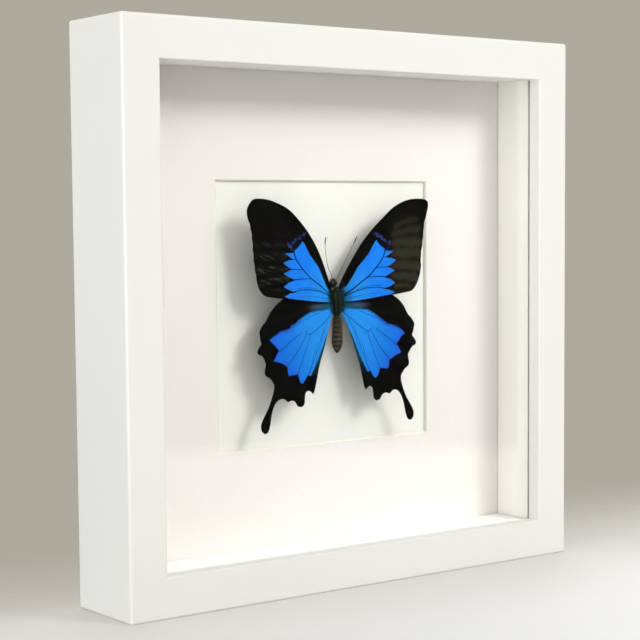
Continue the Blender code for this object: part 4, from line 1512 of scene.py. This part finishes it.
class BUTTERFLY_OT_stage(Operator):
    """Sets the floor, the lamps, the background and the camera."""

    bl_idname = "butterfly.stage"
    bl_label = "Stage"

    def execute(self, context):
        settings = context.scene.butterfly_stage
        self.floor(settings)
        self.softbox(settings)
        self.background(context.scene, settings)
        self.camera(context.scene, settings)
        return {"FINISHED"}

    @staticmethod
    def floor(settings):
        """A round table top that fades out into the background."""
        radius = np.linspace(0, TABLE_RADIUS, 7)
        mesh = weld(sheet_mesh("table", turned(radius, 0 * radius, 96), closed=True), recalculate=False)
        finish = Finish("table_top")
        place = finish.place()
        x, y, _ = finish.axes(place)
        behind = finish.step(x * 0.05 + y, -0.12, 0.15)
        ahead = finish.step((x * x + y * y).maths("SQRT"), 0.40, 0.56)
        colour = finish.mix(finish.noise(place, 6.0), shade(settings.floor, 0.97), settings.floor)
        top = finish.principled({"Base Color": colour, "Roughness": 0.6, "Specular IOR Level": 0.2})
        clear = finish.node("ShaderNodeBsdfTransparent", {}, {})
        mesh.materials.append(finish.finish(finish.blend(behind.maths("MAXIMUM", ahead), top, clear)))
        show("table_top", mesh)

    @staticmethod
    def softbox(settings):
        """A square softbox that faces the frame."""
        data = bpy.data.lights.new("softbox", "AREA")
        data.size = SOFTBOX_SIZE
        data.energy = settings.key
        data.color = SOFTBOX_TINT
        aim(show("softbox", data), SOFTBOX_PLACE, Vector((0, 0, CENTRE_Z)) - SOFTBOX_PLACE)

    @staticmethod
    def background(scene, settings):
        """An even background, and soft light from four sides, which the lens never sees.

        Each light grows with the fourth power of the cosine of the angle from its axis.
        """
        scene.world = bpy.data.worlds.new("studio")
        scene.world.use_nodes = True
        finish = Finish("studio", scene.world.node_tree)
        way = finish.node("ShaderNodeTexCoord", {}, {}, "Generated")
        half = math.sqrt(0.5)
        glows = {
            (-1, 0, 0): settings.left,
            (-half, -half, 0): settings.front_left,
            (0, 0, 1): settings.above,
            (half * 0.8, 0.8, half * 0.6): settings.behind,
        }
        light = 0.0
        for axis, power in glows.items():
            light = light + finish.dot(way, axis).maths("MAXIMUM", 0.0).maths("POWER", 4.0) * power
        seen = finish.node("ShaderNodeLightPath", {}, {}, "Is Camera Ray")
        room = finish.joined(light, light * 0.995, light * 0.975)
        colour = finish.mix(seen, room, settings.wall)
        shine = finish.node("ShaderNodeBackground", {}, {"Color": colour, "Strength": 1.0})
        finish.node("ShaderNodeOutputWorld", {}, {"Surface": shine})

    @staticmethod
    def camera(scene, settings):
        """A long lens to the frame's left, a little above its middle."""
        data = bpy.data.cameras.new("camera")
        data.lens = settings.lens
        data.shift_y = settings.shift
        data.clip_start = 0.05
        data.clip_end = 20
        turn, level = settings.azimuth, math.cos(settings.elevation)
        back = Vector((math.sin(turn) * level, -math.cos(turn) * level, math.sin(settings.elevation)))
        scene.camera = show("camera", data)
        aim(scene.camera, CAMERA_TARGET + back * settings.distance, -back, settings.roll)
        scene.view_settings.view_transform = "Standard"


class BUTTERFLY_PT_sidebar(Panel):
    """Lists the steps and their settings."""

    bl_label = "Framed butterfly"
    bl_idname = "BUTTERFLY_PT_sidebar"
    bl_space_type = "VIEW_3D"
    bl_region_type = "UI"
    bl_category = "Butterfly"

    def draw(self, context):
        layout = self.layout
        for operator in OPERATORS:
            layout.operator(operator.bl_idname)
        for name in GROUPS:
            box = layout.box()
            settings = getattr(context.scene, name)
            for field in GROUPS[name].__annotations__:
                box.prop(settings, field)


GROUPS = {
    "butterfly_frame": FrameSettings,
    "butterfly_specimen": SpecimenSettings,
    "butterfly_stage": StageSettings,
}
OPERATORS = (
    BUTTERFLY_OT_rails,
    BUTTERFLY_OT_inside,
    BUTTERFLY_OT_back,
    BUTTERFLY_OT_wings,
    BUTTERFLY_OT_body,
    BUTTERFLY_OT_antennae,
    BUTTERFLY_OT_stage,
)
CLASSES = (*GROUPS.values(), *OPERATORS, BUTTERFLY_PT_sidebar)


def register():
    """Registers the classes, and puts the settings on the scene."""
    for cls in CLASSES:
        bpy.utils.register_class(cls)
    for name, group in GROUPS.items():
        setattr(bpy.types.Scene, name, PointerProperty(type=group))


def unregister():
    """Takes the settings and the classes away."""
    for name in GROUPS:
        delattr(bpy.types.Scene, name)
    for cls in reversed(CLASSES):
        bpy.utils.unregister_class(cls)


def main():
    """Builds everything in order."""
    register()
    bpy.ops.butterfly.rails()
    bpy.ops.butterfly.inside()
    bpy.ops.butterfly.back()
    bpy.ops.butterfly.wings()
    bpy.ops.butterfly.body()
    bpy.ops.butterfly.antennae()
    bpy.ops.butterfly.stage()


if __name__ == "__main__":
    main()
